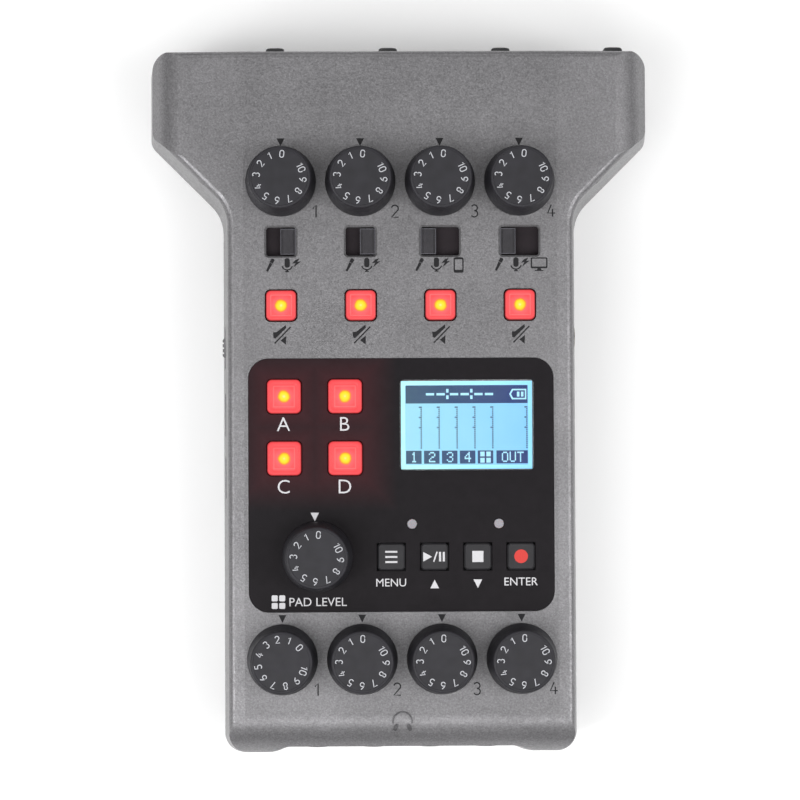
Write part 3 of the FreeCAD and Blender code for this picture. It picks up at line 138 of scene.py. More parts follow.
class Graph:
    """A new material with short calls for the nodes that the finishes use."""

    def __init__(self, name: str) -> None:
        """Starts a material with its principled shader.

        Args:
            name: The material's name.
        """
        self.material = bpy.data.materials.new(name)
        self.material.use_nodes = True
        self.tree = self.material.node_tree
        self.shader = self.tree.nodes["Principled BSDF"]

    def node(self, kind: str, **settings: object) -> bpy.types.Node:
        """Adds a node and sets the given attributes on it.

        Args:
            kind: The node's class name without its ShaderNode prefix.
            settings: Attributes of the node.

        Returns:
            The new node.
        """
        new = self.tree.nodes.new("ShaderNode" + kind)
        for name, value in settings.items():
            setattr(new, name, value)
        return new

    def join(self, output: Output, target: Output) -> None:
        """Links an output to an input."""
        self.tree.links.new(output, target)

    def plain(self, **values: object) -> None:
        """Sets single values on the shader's own sockets.

        Args:
            values: The values by the sockets' names, with _ for a space.
        """
        for name, value in values.items():
            socket = self.shader.inputs[name.replace("_", " ")]
            if isinstance(value, tuple) and len(value) == 3 and socket.type == "RGBA":
                value = (*value, 1.0)
            socket.default_value = value

    def place(self) -> Output:
        """Returns the point's place in the object, in metres."""
        return self.node("TexCoord").outputs["Object"]

    def stretched(self, scale: Point3) -> Output:
        """Stretches the place, for grain that runs one way.

        Args:
            scale: What each axis is multiplied by.

        Returns:
            The stretched place.
        """
        mapping = self.node("Mapping")
        mapping.inputs["Scale"].default_value = scale
        self.join(self.place(), mapping.inputs["Vector"])
        return mapping.outputs["Vector"]

    def noise(self, cell: float, detail: float = 2.0) -> Output:
        """Adds a noise.

        Args:
            cell: Size of its grains in millimetres.
            detail: How many finer layers it has.

        Returns:
            A value from 0 to 1.
        """
        new = self.node("TexNoise")
        new.inputs["Scale"].default_value = 1.0 / (cell * MM)
        new.inputs["Detail"].default_value = detail
        self.join(self.place(), new.inputs["Vector"])
        return new.outputs["Fac"]

    def flakes(self, cell: float) -> Output:
        """Splits the surface into small cells that differ at random.

        Args:
            cell: Size of a cell in millimetres.

        Returns:
            One value from 0 to 1 for each cell.
        """
        new = self.node("TexVoronoi")
        new.inputs["Scale"].default_value = 1.0 / (cell * MM)
        self.join(self.place(), new.inputs["Vector"])
        split = self.node("SeparateColor")
        self.join(new.outputs["Color"], split.inputs["Color"])
        return split.outputs[0]

    def spread(
        self,
        value: Output,
        low: float,
        high: float,
        start: float = 0.3,
        end: float = 0.7,
    ) -> Output:
        """Maps a value from start and end to low and high.

        Args:
            value: The value to map.
            low: What start becomes.
            high: What end becomes.
            start: Lower end of the range that is read.
            end: Upper end of the range that is read.

        Returns:
            The mapped value.
        """
        new = self.node("MapRange")
        ends = {"From Min": start, "From Max": end, "To Min": low, "To Max": high}
        for name, number in ends.items():
            new.inputs[name].default_value = number
        self.join(value, new.inputs["Value"])
        return new.outputs["Result"]

    def step(self, kind: str, first: Output, second: Output | float | None = None) -> Output:
        """Joins one or two values by a step of arithmetic.

        Args:
            kind: The step's name.
            first: The value it starts from.
            second: Another value or a plain number, where the step takes one.

        Returns:
            The result.
        """
        new = self.node("Math", operation=kind)
        self.join(first, new.inputs[0])
        if isinstance(second, (int, float)):
            new.inputs[1].default_value = second
        elif second is not None:
            self.join(second, new.inputs[1])
        return new.outputs[0]

    def parts(self, vector: Output) -> bpy.types.bpy_prop_collection:
        """Splits a vector.

        Args:
            vector: The vector.

        Returns:
            Outputs that are called X, Y and Z.
        """
        split = self.node("SeparateXYZ")
        self.join(vector, split.inputs[0])
        return split.outputs

    def mottled(self, value: Output, colour: Colour, low: float, high: float = 1.0) -> None:
        """Lets the base colour run between two shares of a shade as the value rises."""
        marks = [(0.0, scaled(colour, low)), (1.0, scaled(colour, high))]
        self.colour(self.ramp(self.spread(value, 0.0, 1.0), marks))

    def glow(self, output: Output) -> None:
        """Links a colour to the shader's own light."""
        self.join(output, self.shader.inputs["Emission Color"])

    def ramp(self, value: Output, stops: Sequence[tuple[float, Colour]]) -> Output:
        """Turns a value into a colour.

        Args:
            value: The value that is read.
            stops: Places from 0 to 1 with their colours, in order.

        Returns:
            The colour.
        """
        new = self.node("ValToRGB")
        marks = new.color_ramp.elements
        while len(marks) < len(stops):
            marks.new(1.0)
        for mark, (where, colour) in zip(marks, stops):
            mark.position = where
            mark.color = (*colour, 1.0)
        self.join(value, new.inputs["Fac"])
        return new.outputs["Color"]

    def bump(self, height: Output, depth: float, strength: float = 1.0) -> None:
        """Gives the shader a relief.

        Args:
            height: The relief's height from 0 to 1.
            depth: Its depth in millimetres.
            strength: How much of it shows.
        """
        new = self.node("Bump")
        new.inputs["Distance"].default_value = depth * MM
        new.inputs["Strength"].default_value = strength
        self.join(height, new.inputs["Height"])
        self.join(new.outputs["Normal"], self.shader.inputs["Normal"])

    def colour(self, output: Output) -> None:
        """Links a colour to the shader's base colour."""
        self.join(output, self.shader.inputs["Base Color"])

    def roughness(self, output: Output) -> None:
        """Links a value to the shader's roughness."""
        self.join(output, self.shader.inputs["Roughness"])


# Finishes


@dataclass(frozen=True)
class Finish:
    """A surface's name and main colour."""

    name: str
    shade: Colour

    def paint(self, graph: Graph) -> None:
        """Fills the graph."""
        raise NotImplementedError

    def material(self) -> bpy.types.Material:
        """Makes the finish's material on first use.

        Returns:
            The one material of this finish.
        """
        known = bpy.data.materials.get(self.name)
        if known is not None and known.get("finish") == self.name:
            return known
        graph = Graph(self.name)
        self.paint(graph)
        graph.material["finish"] = self.name
        graph.material.diffuse_color = (*self.shade, 1.0)
        return graph.material


@dataclass(frozen=True)
class Lacquer(Finish):
    """Satin grey lacquer with fine metal flake over a slightly grained moulding."""

    flake: float = 0.26
    grain: float = 0.42
    cloud: float = 14.0
    roughness: float = 0.38
    metal: float = 0.55
    darkest: float = 0.66
    palest: float = 1.38

    def paint(self, graph: Graph) -> None:
        """Fills the graph with flake, grain and a soft sheen.

        Args:
            graph: The graph of the new material.
        """
        grain = graph.noise(self.grain, 3.0)
        cloud = graph.spread(graph.noise(self.cloud, 1.0), -0.10, 0.10)
        speck = graph.spread(graph.flakes(self.flake), -0.22, 0.22, 0.0, 1.0)
        value = graph.step("ADD", graph.step("ADD", graph.spread(grain, 0.30, 0.70), speck), cloud)
        dark, pale = scaled(self.shade, self.darkest), scaled(self.shade, self.palest)
        graph.colour(graph.ramp(value, [(0.0, dark), (0.5, self.shade), (1.0, pale)]))
        glint = graph.flakes(self.flake * 1.7)
        graph.roughness(graph.spread(glint, self.roughness - 0.07, self.roughness + 0.09, 0.0, 1.0))
        graph.bump(grain, 0.030, 0.55)
        graph.plain(Metallic=self.metal)


@dataclass(frozen=True)
class Moulding(Finish):
    """Moulded plastic or rubber with a fine grain and faint mottling."""

    roughness: float = 0.5
    mottle: float = 0.18
    grain: float = 0.30
    depth: float = 0.02
    gloss: float = 0.4

    def paint(self, graph: Graph) -> None:
        """Fills the graph with mottled colour, grain and uneven gloss.

        Args:
            graph: The graph of the new material.
        """
        graph.mottled(graph.noise(2.2, 4.0), self.shade, 1 - self.mottle, 1 + self.mottle)
        graph.roughness(graph.spread(graph.noise(1.1), self.roughness - 0.06, self.roughness + 0.06))
        graph.bump(graph.noise(self.grain, 3.0), self.depth, 0.5)
        graph.plain(Specular_IOR_Level=self.gloss)


@dataclass(frozen=True)
class Metal(Finish):
    """Plated or drawn metal with fine lines along one axis."""

    roughness: float = 0.28
    run: Point3 = (900.0, 6000.0, 6000.0)

    def paint(self, graph: Graph) -> None:
        """Fills the graph with drawn lines and faint tarnish.

        Args:
            graph: The graph of the new material.
        """
        lines = graph.node("TexNoise")
        lines.inputs["Scale"].default_value = 1.0
        graph.join(graph.stretched(self.run), lines.inputs["Vector"])
        drawn = lines.outputs["Fac"]
        graph.mottled(graph.noise(3.0, 4.0), self.shade, 0.72)
        graph.roughness(graph.spread(drawn, self.roughness - 0.08, self.roughness + 0.12))
        graph.bump(drawn, 0.004, 0.4)
        graph.plain(Metallic=1.0)


@dataclass(frozen=True)
class Laminate(Finish):
    """A circuit board's green mask over its tracks and weave."""

    copper: Colour = (0.10, 0.33, 0.13)
    tracks: float = 120.0
    gap: float = 0.06

    def paint(self, graph: Graph) -> None:
        """Fills the graph with square track runs under a gloss mask.

        Args:
            graph: The graph of the new material.
        """
        bricks = graph.node("TexBrick")
        bricks.inputs["Scale"].default_value = self.tracks
        bricks.inputs["Mortar Size"].default_value = self.gap
        bricks.inputs["Color1"].default_value = (*self.shade, 1.0)
        bricks.inputs["Color2"].default_value = (*scaled(self.shade, 0.86), 1.0)
        bricks.inputs["Mortar"].default_value = (*self.copper, 1.0)
        graph.join(graph.place(), bricks.inputs["Vector"])
        graph.colour(bricks.outputs["Color"])
        graph.roughness(graph.spread(graph.noise(0.8), 0.28, 0.42))
        graph.bump(bricks.outputs["Fac"], 0.03, 0.6)


@dataclass(frozen=True)
class Ink(Finish):
    """Screen printing ink with a faintly uneven film."""

    roughness: float = 0.55

    def paint(self, graph: Graph) -> None:
        """Fills the graph with an uneven film.

        Args:
            graph: The graph of the new material.
        """
        film = graph.noise(0.12, 2.0)
        graph.mottled(film, self.shade, 0.86)
        graph.roughness(graph.spread(film, self.roughness - 0.08, self.roughness + 0.08))
        graph.bump(film, 0.005, 0.5)
        graph.plain(Specular_IOR_Level=0.3)


@dataclass(frozen=True)
class LitRubber(Finish):
    """Milky silicone that is lit from below by one lamp in its middle."""

    bands: tuple[tuple[float, Colour], ...] = (
        (0.000, linear(255, 252, 165)),
        (0.034, linear(255, 246, 66)),
        (0.080, linear(255, 240, 10)),
        (0.108, linear(255, 208, 4)),
        (0.130, linear(242, 136, 44)),
        (0.155, linear(244, 104, 108)),
        (0.240, linear(242, 84, 88)),
        (0.420, linear(238, 70, 76)),
    )
    strength: float = 0.94
    edge_strength: float = 0.16
    frame_line: Colour = linear(255, 150, 150)
    frame_at: float = 0.226
    frame_share: float = 0.34
    dark_below: float = 35.2
    clear_above: float = 36.7

    def paint(self, graph: Graph) -> None:
        """Fills the graph with a glow that fades from the middle to the edge.

        Args:
            graph: The graph of the new material.
        """
        where = graph.node("UVMap", uv_map="plan")
        shift = graph.node("VectorMath", operation="SUBTRACT")
        graph.join(where.outputs["UV"], shift.inputs[0])
        shift.inputs[1].default_value = (0.5, 0.5, 0.0)
        aside = shift.outputs["Vector"]
        reach = graph.node("VectorMath", operation="LENGTH")
        graph.join(aside, reach.inputs[0])
        uneven = graph.spread(graph.noise(1.5, 3.0), -0.010, 0.010)
        distance = graph.step("ADD", reach.outputs["Value"], uneven)
        graph.glow(self.framed(graph, aside, graph.ramp(distance, self.bands)))
        facing = graph.parts(graph.node("NewGeometry").outputs["Normal"])["Z"]
        leak = graph.spread(facing, self.edge_strength, self.strength, 0.45, 0.97)
        height = graph.parts(graph.place())["Z"]
        clear = graph.spread(height, 0.0, 1.0, self.dark_below * MM, self.clear_above * MM)
        graph.join(graph.step("MULTIPLY", leak, clear), graph.shader.inputs["Emission Strength"])
        marks = [(0.0, scaled(self.shade, 0.10)), (0.5, scaled(self.shade, 0.22))]
        graph.colour(graph.ramp(distance, marks))
        graph.roughness(graph.spread(graph.noise(0.5), 0.42, 0.55))
        graph.bump(graph.noise(0.25, 2.0), 0.012, 0.5)
        graph.plain(Specular_IOR_Level=0.28, Subsurface_Weight=0.15, Subsurface_Scale=0.001)

    def framed(self, graph: Graph, aside: Output, glow: Output) -> Output:
        """Adds the paler square line that the lamp hollow below shows as.

        Args:
            graph: The material's graph.
            aside: The place from the button's middle.
            glow: The colour without the line.

        Returns:
            The colour with the line.
        """
        sides = graph.parts(aside)
        square = graph.step("MAXIMUM", *[graph.step("ABSOLUTE", sides[axis]) for axis in "XY"])
        off = graph.step("ABSOLUTE", graph.step("SUBTRACT", square, self.frame_at))
        line = graph.spread(off, self.frame_share, 0.0, 0.004, 0.016)
        mixed = graph.node("Mix", data_type="RGBA")
        graph.join(line, mixed.inputs[0])
        graph.join(glow, mixed.inputs[6])
        mixed.inputs[7].default_value = (*self.frame_line, 1.0)
        return mixed.outputs[2]


@dataclass(frozen=True)
class PanelFilm(Finish):
    """Fine-grained black film with a painted red glow that fades away from the four pads set in it."""

    roughness: float = 0.42
    gloss: float = 0.11
    # Painted light: the red glow is emission on the film itself, strongest next to the pads.
    spill: Colour = linear(56, 13, 17)
    middle: Point2 = (-19.0, -6.0)
    reach: Point2 = (6.7, 6.8)
    pad_half: float = 3.75
    fade: float = 8.0
    fall: float = 1.3

    def paint(self, graph: Graph) -> None:
        """Fills the graph with a grained film and a painted red glow that fades away from each pad.

        Args:
            graph: The graph of the new material.
        """
        place = graph.parts(graph.place())
        sides = []
        for axis, centre, pitch in zip("XY", self.middle, self.reach):
            aside = graph.step("ABSOLUTE", graph.step("SUBTRACT", place[axis], centre * MM))
            sides.append(graph.step("ABSOLUTE", graph.step("SUBTRACT", aside, pitch * MM)))
        away = graph.step("MAXIMUM", *sides)
        near = graph.spread(away, 1.0, 0.0, self.pad_half * MM, (self.pad_half + self.fade) * MM)
        near = graph.step("POWER", near, self.fall)
        graph.glow(graph.ramp(near, [(0.0, (0.0, 0.0, 0.0)), (1.0, self.spill)]))
        graph.mottled(graph.noise(2.2, 4.0), self.shade, 0.9, 1.1)
        graph.roughness(graph.spread(graph.noise(1.1), self.roughness - 0.05, self.roughness + 0.05))
        graph.bump(graph.noise(0.22, 3.0), 0.010, 0.5)
        graph.plain(Specular_IOR_Level=self.gloss, Emission_Strength=1.0)


@dataclass(frozen=True)
class Backlight(Finish):
    """A display layer that is lit from behind, with a little unevenness."""

    deep: Colour = (0.30, 0.62, 0.95)
    strength: float = 0.92
    left: float = 1.0
    right: float = 28.0

    def paint(self, graph: Graph) -> None:
        """Fills the graph with an even glow that deepens to one side.

        Args:
            graph: The graph of the new material.
        """
        place = graph.parts(graph.place())
        across = graph.spread(place["X"], 0.0, 1.0, self.left * MM, self.right * MM)
        veil = graph.step("ADD", across, graph.spread(graph.noise(5.0, 2.0), -0.08, 0.08))
        graph.glow(graph.ramp(veil, [(0.0, self.shade), (1.0, self.deep)]))
        marks = [(0.0, scaled(self.shade, 0.25)), (1.0, scaled(self.deep, 0.25))]
        graph.colour(graph.ramp(veil, marks))
        graph.plain(Emission_Strength=self.strength, Roughness=0.35)


@dataclass(frozen=True)
class ClearPane(Finish):
    """Clear moulded acrylic."""

    roughness: float = 0.03
    index: float = 1.12

    def paint(self, graph: Graph) -> None:
        """Fills the graph with a clear, slightly wavy pane.

        Args:
            graph: The graph of the new material.
        """
        graph.plain(Base_Color=self.shade, Transmission_Weight=1.0)
        graph.plain(IOR=self.index, Roughness=self.roughness)
        graph.bump(graph.noise(6.0, 1.0), 0.002, 0.2)


@dataclass(frozen=True)
class Lens(Finish):
    """A small frosted lens over an unlit lamp."""

    def paint(self, graph: Graph) -> None:
        """Fills the graph with frosted grey acrylic.

        Args:
            graph: The graph of the new material.
        """
        frost = graph.noise(0.2, 3.0)
        graph.mottled(frost, self.shade, 0.8)
        graph.roughness(graph.spread(frost, 0.18, 0.35))
        graph.bump(frost, 0.01, 0.4)
        graph.plain(Subsurface_Weight=0.2, Subsurface_Scale=0.0005)


@dataclass(frozen=True)
class StudioFloor(Finish):
    """Pale matt paper, which the camera sees a little whiter than it lights the object."""

    lift: float = 0.20

    def paint(self, graph: Graph) -> None:
        """Fills the graph with paper that is faintly mottled.

        Args:
            graph: The graph of the new material.
        """
        graph.mottled(graph.noise(60.0, 3.0), self.shade, 0.985)
        rays = graph.node("LightPath").outputs
        mirrored = graph.step("ADD", rays["Is Glossy Ray"], rays["Is Transmission Ray"])
        direct = graph.step("ADD", rays["Is Camera Ray"], mirrored)
        seen = graph.spread(direct, 0.0, self.lift, 0.0, 1.0)
        graph.join(seen, graph.shader.inputs["Emission Strength"])
        graph.plain(Roughness=0.9, Specular_IOR_Level=0.1, Emission_Color=(1.0, 1.0, 1.0))


CASE = Lacquer("case_lacquer", linear(120, 119, 121))
# Darker copy of the case lacquer: painted shade on the moulded front sign.
SHADED_SIGN_LACQUER = Lacquer("sign_lacquer", linear(84, 83, 85))
# The panel film carries a painted red glow round the four pads.
PANEL = PanelFilm("panel_film", linear(25, 22, 25))
KNOB = Moulding(
    "knob_soft_black",
    linear(34, 33, 38),
    roughness=0.58,
    mottle=0.22,
    grain=0.35,
    depth=0.03,
    gloss=0.35,
)
KEY = Moulding("key_black", linear(38, 37, 40), roughness=0.50, mottle=0.15, gloss=0.30)
SLIDER = Moulding("slider_black", linear(38, 36, 41), roughness=0.45, mottle=0.20, gloss=0.45)
# Painted highlight: a pale ring where the slider's edge would catch the light.
SLIDER_EDGE_HIGHLIGHT = Moulding("slider_edge", linear(86, 85, 92), roughness=0.45, mottle=0.10, gloss=0.4)
# Dark sheet for the slot floor: hides the switch and paints the shade inside the slot.
SHADOW = Moulding("recess_black", linear(44, 39, 42), roughness=0.7, mottle=0.10, gloss=0.1)
SOCKET = Moulding("socket_black", linear(27, 27, 29), roughness=0.42, mottle=0.12, grain=0.5, gloss=0.45)
LATCH = Moulding("latch_black", linear(44, 44, 46), roughness=0.40, mottle=0.12, gloss=0.5)
DARK_BODY = Moulding("component_black", linear(30, 30, 32), roughness=0.5, mottle=0.1)
LAMP = Moulding("lamp_body", linear(222, 218, 205), roughness=0.35, mottle=0.06)
RUBBER = Moulding(
    "foot_rubber",
    linear(34, 34, 35),
    roughness=0.78,
    mottle=0.2,
    grain=0.6,
    depth=0.05,
    gloss=0.2,
)
CELL = Moulding("cell_sleeve", linear(46, 58, 74), roughness=0.3, mottle=0.08, grain=2.0)
LCD_BODY = Moulding(
    "display_glass",
    linear(70, 92, 110),
    roughness=0.2,
    mottle=0.06,
    grain=3.0,
    gloss=0.5,
)
GOLD = Metal("contact_gold", linear(226, 184, 96), roughness=0.24)
STEEL = Metal("port_steel", linear(188, 190, 193), roughness=0.30)
NICKEL = Metal("socket_nickel", linear(205, 203, 198), roughness=0.22, run=(5000.0, 900.0, 5000.0))
BOARD = Laminate("board_mask", linear(24, 84, 52))
BLACK_INK = Ink("ink_black", linear(15, 14, 18))
WHITE_INK = Ink("ink_white", linear(206, 205, 208))
NUMERAL_INK = Ink("ink_numeral", linear(186, 187, 192))
RED_INK = Ink("ink_red", linear(206, 60, 54))
LIT = LitRubber("button_silicone", linear(232, 70, 72))
GLOW_EDGE = Backlight("display_edge_glow", linear(186, 250, 255), linear(150, 222, 255), 0.95)
GLOW = Backlight("display_glow", linear(160, 222, 248), linear(136, 204, 250), 0.84)
SEGMENT = Backlight("display_dark", linear(66, 96, 124), linear(42, 64, 128), 0.70)
SEGMENT_LIGHT = Backlight("display_light", linear(178, 228, 244), linear(170, 222, 248), 0.95)
WINDOW = ClearPane("window_clear", (0.97, 0.98, 0.98))
INDICATOR = Lens("indicator_lens", linear(158, 154, 160))
FLOOR = StudioFloor("floor_paper", (0.80, 0.80, 0.80))


# Meshes


def dress(node: str, finish: Finish) -> None:
    """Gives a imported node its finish.

    Args:
        node: The node's name.
        finish: What it is made of.
    """
    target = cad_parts[node]
    made = finish.material()
    if target.data.materials:
        for place in range(len(target.data.materials)):
            target.data.materials[place] = made
    else:
        target.data.materials.append(made)
    LOG.info("dressed %s in %s", node, finish.name)


def piece(
    name: str,
    points: Sequence[Point3],
    faces: Iterable[Sequence[int]],
    body: str,
    slot: str,
    finish: Finish,
    soft: float | None = None,
) -> bpy.types.Object:
    """Makes a piece from points in millimetres and lets it ride on a body.

    Args:
        name: The piece's name.
        points: Corner points in millimetres.
        faces: Index lists of its faces.
        body: The body that carries it.
        slot: The record's slot that its finish belongs to; not used.
        finish: What it is made of.
        soft: Angle in degrees below which edges are shaded smooth.

    Returns:
        The new object.
    """
    mesh = bpy.data.meshes.new(name)
    spots = [tuple(value * MM for value in point) for point in points]
    mesh.from_pydata(spots, [], [tuple(face) for face in faces])
    work = bmesh.new()
    work.from_mesh(mesh)
    bmesh.ops.remove_doubles(work, verts=work.verts, dist=1e-7)
    bmesh.ops.recalc_face_normals(work, faces=work.faces)
    work.to_mesh(mesh)
    work.free()
    if soft is not None:
        mesh.shade_smooth()
        mesh.set_sharp_from_angle(angle=math.radians(soft))
    new = bpy.data.objects.new(name, mesh)
    bpy.context.scene.collection.objects.link(new)
    mesh.materials.append(finish.material())
    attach(new, body)
    LOG.info("built %s on %s", name, body)
    return new


def circle(
    x: float,
    y: float,
    radius: float,
    steps: int = 24,
    start: float = 0.0,
    sweep: float = 360.0,
) -> list[Point2]:
    """Returns points of a circle or arc.

    Args:
        x: Centre.
        y: Centre.
        radius: Its radius.
        steps: How many parts it has.
        start: First angle in degrees.
        sweep: Angle that it covers in degrees.

    Returns:
        The points, without the last one where the circle is whole.
    """
    count = steps if abs(sweep) >= 360 else steps + 1
    angles = [math.radians(start + sweep * index / steps) for index in range(count)]
    return [(x + radius * math.cos(a), y + radius * math.sin(a)) for a in angles]


def rounded(x: float, y: float, wide: float, high: float, corner: float, steps: int = 4) -> list[Point2]:
    """Returns a rectangle with rounded corners around a centre.

    Args:
        x: Centre.
        y: Centre.
        wide: Width.
        high: Height.
        corner: Corner radius.
        steps: Parts of each corner.

    Returns:
        The points, counter-clockwise.
    """
    points: list[Point2] = []
    for index, (side, up) in enumerate(QUARTERS):
        middle_x = x + side * (wide / 2 - corner)
        middle_y = y + up * (high / 2 - corner)
        points += circle(middle_x, middle_y, corner, steps, 90.0 * index, 90.0)
    return points


def swung(points: Iterable[Point2], x: float, y: float, turn: float) -> list[Point2]:
    """Turns points round the origin and then moves them.

    Args:
        points: The points.
        x: How far they move across.
        y: How far they move up.
        turn: Degrees that they are turned, counter-clockwise.

    Returns:
        The moved points.
    """
    cosine, sine = math.cos(math.radians(turn)), math.sin(math.radians(turn))
    return [(x + px * cosine - py * sine, y + px * sine + py * cosine) for px, py in points]


def lofted(rings: Sequence[Sequence[Point3]]) -> Skin:
    """Joins rings of equal length into a closed skin.

    Args:
        rings: The rings in order.

    Returns:
        The points and faces, with both ends closed.
    """
    count = len(rings[0])
    points = [point for ring in rings for point in ring]
    faces: list[Face] = []
    for level in range(len(rings) - 1):
        low, high = level * count, (level + 1) * count
        for index in range(count):
            after = (index + 1) % count
            faces.append((low + index, low + after, high + after, high + index))
    faces.append(tuple(range(count - 1, -1, -1)))
    faces.append(tuple(range(len(points) - count, len(points))))
    return points, faces


def turned(profile: Sequence[Point2], steps: int, place: Placer) -> Skin:
    """Turns an open profile round an axis, with a closed top and foot.

    Args:
        profile: Radius and height of each point.
        steps: Parts of the circle.
        place: Puts a point across, a point up and a height into space.

    Returns:
        The points and faces.
    """
    rings = []
    for radius, height in profile:
        rings.append([place(x, y, height) for x, y in circle(0, 0, max(radius, THIN), steps)])
    return lofted(rings)


def turned_ring(profile: Sequence[Point2], steps: int, place: Placer) -> Skin:
    """Turns a closed profile round an axis, which leaves its middle open.

    Args:
        profile: Radius and height of each point of the loop.
        steps: Parts of the circle.
        place: Puts a point across, a point up and a height into space.

    Returns:
        The points and faces.
    """
    rings = []
    for radius, height in profile:
        rings.append([place(x, y, height) for x, y in circle(0, 0, radius, steps)])
    points, faces = lofted([*rings, rings[0]])
    return points, faces[:-2]


def above(node: str, fallback: float) -> Placer:
    """Lays a figure on a node's upper surface.

    Args:
        node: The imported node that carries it.
        fallback: Height in millimetres where the node has a gap.

    Returns:
        A placer that follows that surface.
    """
    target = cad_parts[node]

    def put(x: float, y: float, rise: float) -> Point3:
        """Drops a point on the surface.

        Args:
            x: Place across.
            y: Place up.
            rise: Height over the surface.

        Returns:
            The point in space.
        """
        found, spot, _, _ = target.ray_cast(Vector((x * MM, y * MM, DROP_HEIGHT * MM)), Vector((0, 0, -1)))
        near = found and abs(spot.z / MM - fallback) < GAP_DEPTH
        return (x, y, (spot.z / MM if near else fallback) + rise)

    return put


def level(height: float) -> Placer:
    """Returns a placer for a level plane at the height."""
    return lambda x, y, rise: (x, y, height + rise)


def under(height: float) -> Placer:
    """Returns a placer for the lower side of a level plane at the height."""
    return lambda x, y, rise: (x, y, height - rise)


def lettering(text: str, weight: float) -> tuple[list[Point2], list[Face]]:
    """Draws a line of lettering one unit high around its own centre.

    Args:
        text: The letters.
        weight: How much the strokes are thickened, as a share of the size.

    Returns:
        The flat points and faces.
    """
    curve = bpy.data.curves.new("lettering", "FONT")
    curve.body = text
    curve.resolution_u = 4
    curve.offset = weight
    holder = bpy.data.objects.new("lettering", curve)
    mesh = bpy.data.meshes.new_from_object(holder)
    points = [(vertex.co.x, vertex.co.y) for vertex in mesh.vertices]
    faces = [tuple(polygon.vertices) for polygon in mesh.polygons]
    bpy.data.objects.remove(holder)
    bpy.data.curves.remove(curve)
    bpy.data.meshes.remove(mesh)
    left, right = min(x for x, _ in points), max(x for x, _ in points)
    low, high = min(y for _, y in points), max(y for _, y in points)
    size = high - low
    return [((x - (left + right) / 2) / size, (y - (low + high) / 2) / size) for x, y in points], faces


def bow(x: float, y: float, radius: float, start: float = 0.0, sweep: float = 360.0) -> list[Point2]:
    """Returns an arc or a closed circle as a path, in parts of the numeral's height."""
    path = circle(x, y, radius, 12, start, sweep)
    return [*path, path[0]] if abs(sweep) >= 360 else path


NUMERALS: dict[str, tuple[float, tuple[list[Point2], ...]]] = {
    "0": (0.78, ([*rounded(0.0, 0.0, 0.56, 1.0, 0.28, 5), (0.28, 0.22), (0.28, 0.0)],)),
    "1": (0.60, ([(-0.20, 0.24), (0.06, 0.50), (0.06, -0.50)],)),
    "2": (0.64, ([*bow(0.0, 0.22, 0.28, 165.0, -190.0), (-0.28, -0.50), (0.30, -0.50)],)),
    "3": (0.62, (bow(0.0, 0.25, 0.25, 150.0, -240.0), bow(0.0, -0.23, 0.27, 90.0, -240.0))),
    "4": (0.68, ([(0.02, 0.50), (-0.28, -0.20), (0.32, -0.20)], [(0.12, 0.14), (0.12, -0.50)])),
    "5": (
        0.62,
        ([(0.24, 0.50), (-0.18, 0.50), (-0.22, 0.04)], bow(-0.02, -0.20, 0.30, 120.0, -260.0)),
    ),
    "6": (
        0.64,
        (bow(0.0, -0.21, 0.28), [(0.16, 0.50), (-0.08, 0.28), (-0.24, 0.02), (-0.28, -0.20)]),
    ),
    "7": (0.60, ([(-0.28, 0.50), (0.28, 0.50), (-0.08, -0.50)],)),
    "8": (0.62, (bow(0.0, 0.25, 0.23), bow(0.0, -0.23, 0.27))),
    "9": (
        0.64,
        (bow(0.0, 0.21, 0.28), [(-0.16, -0.50), (0.08, -0.28), (0.24, -0.02), (0.28, 0.20)]),
    ),
}


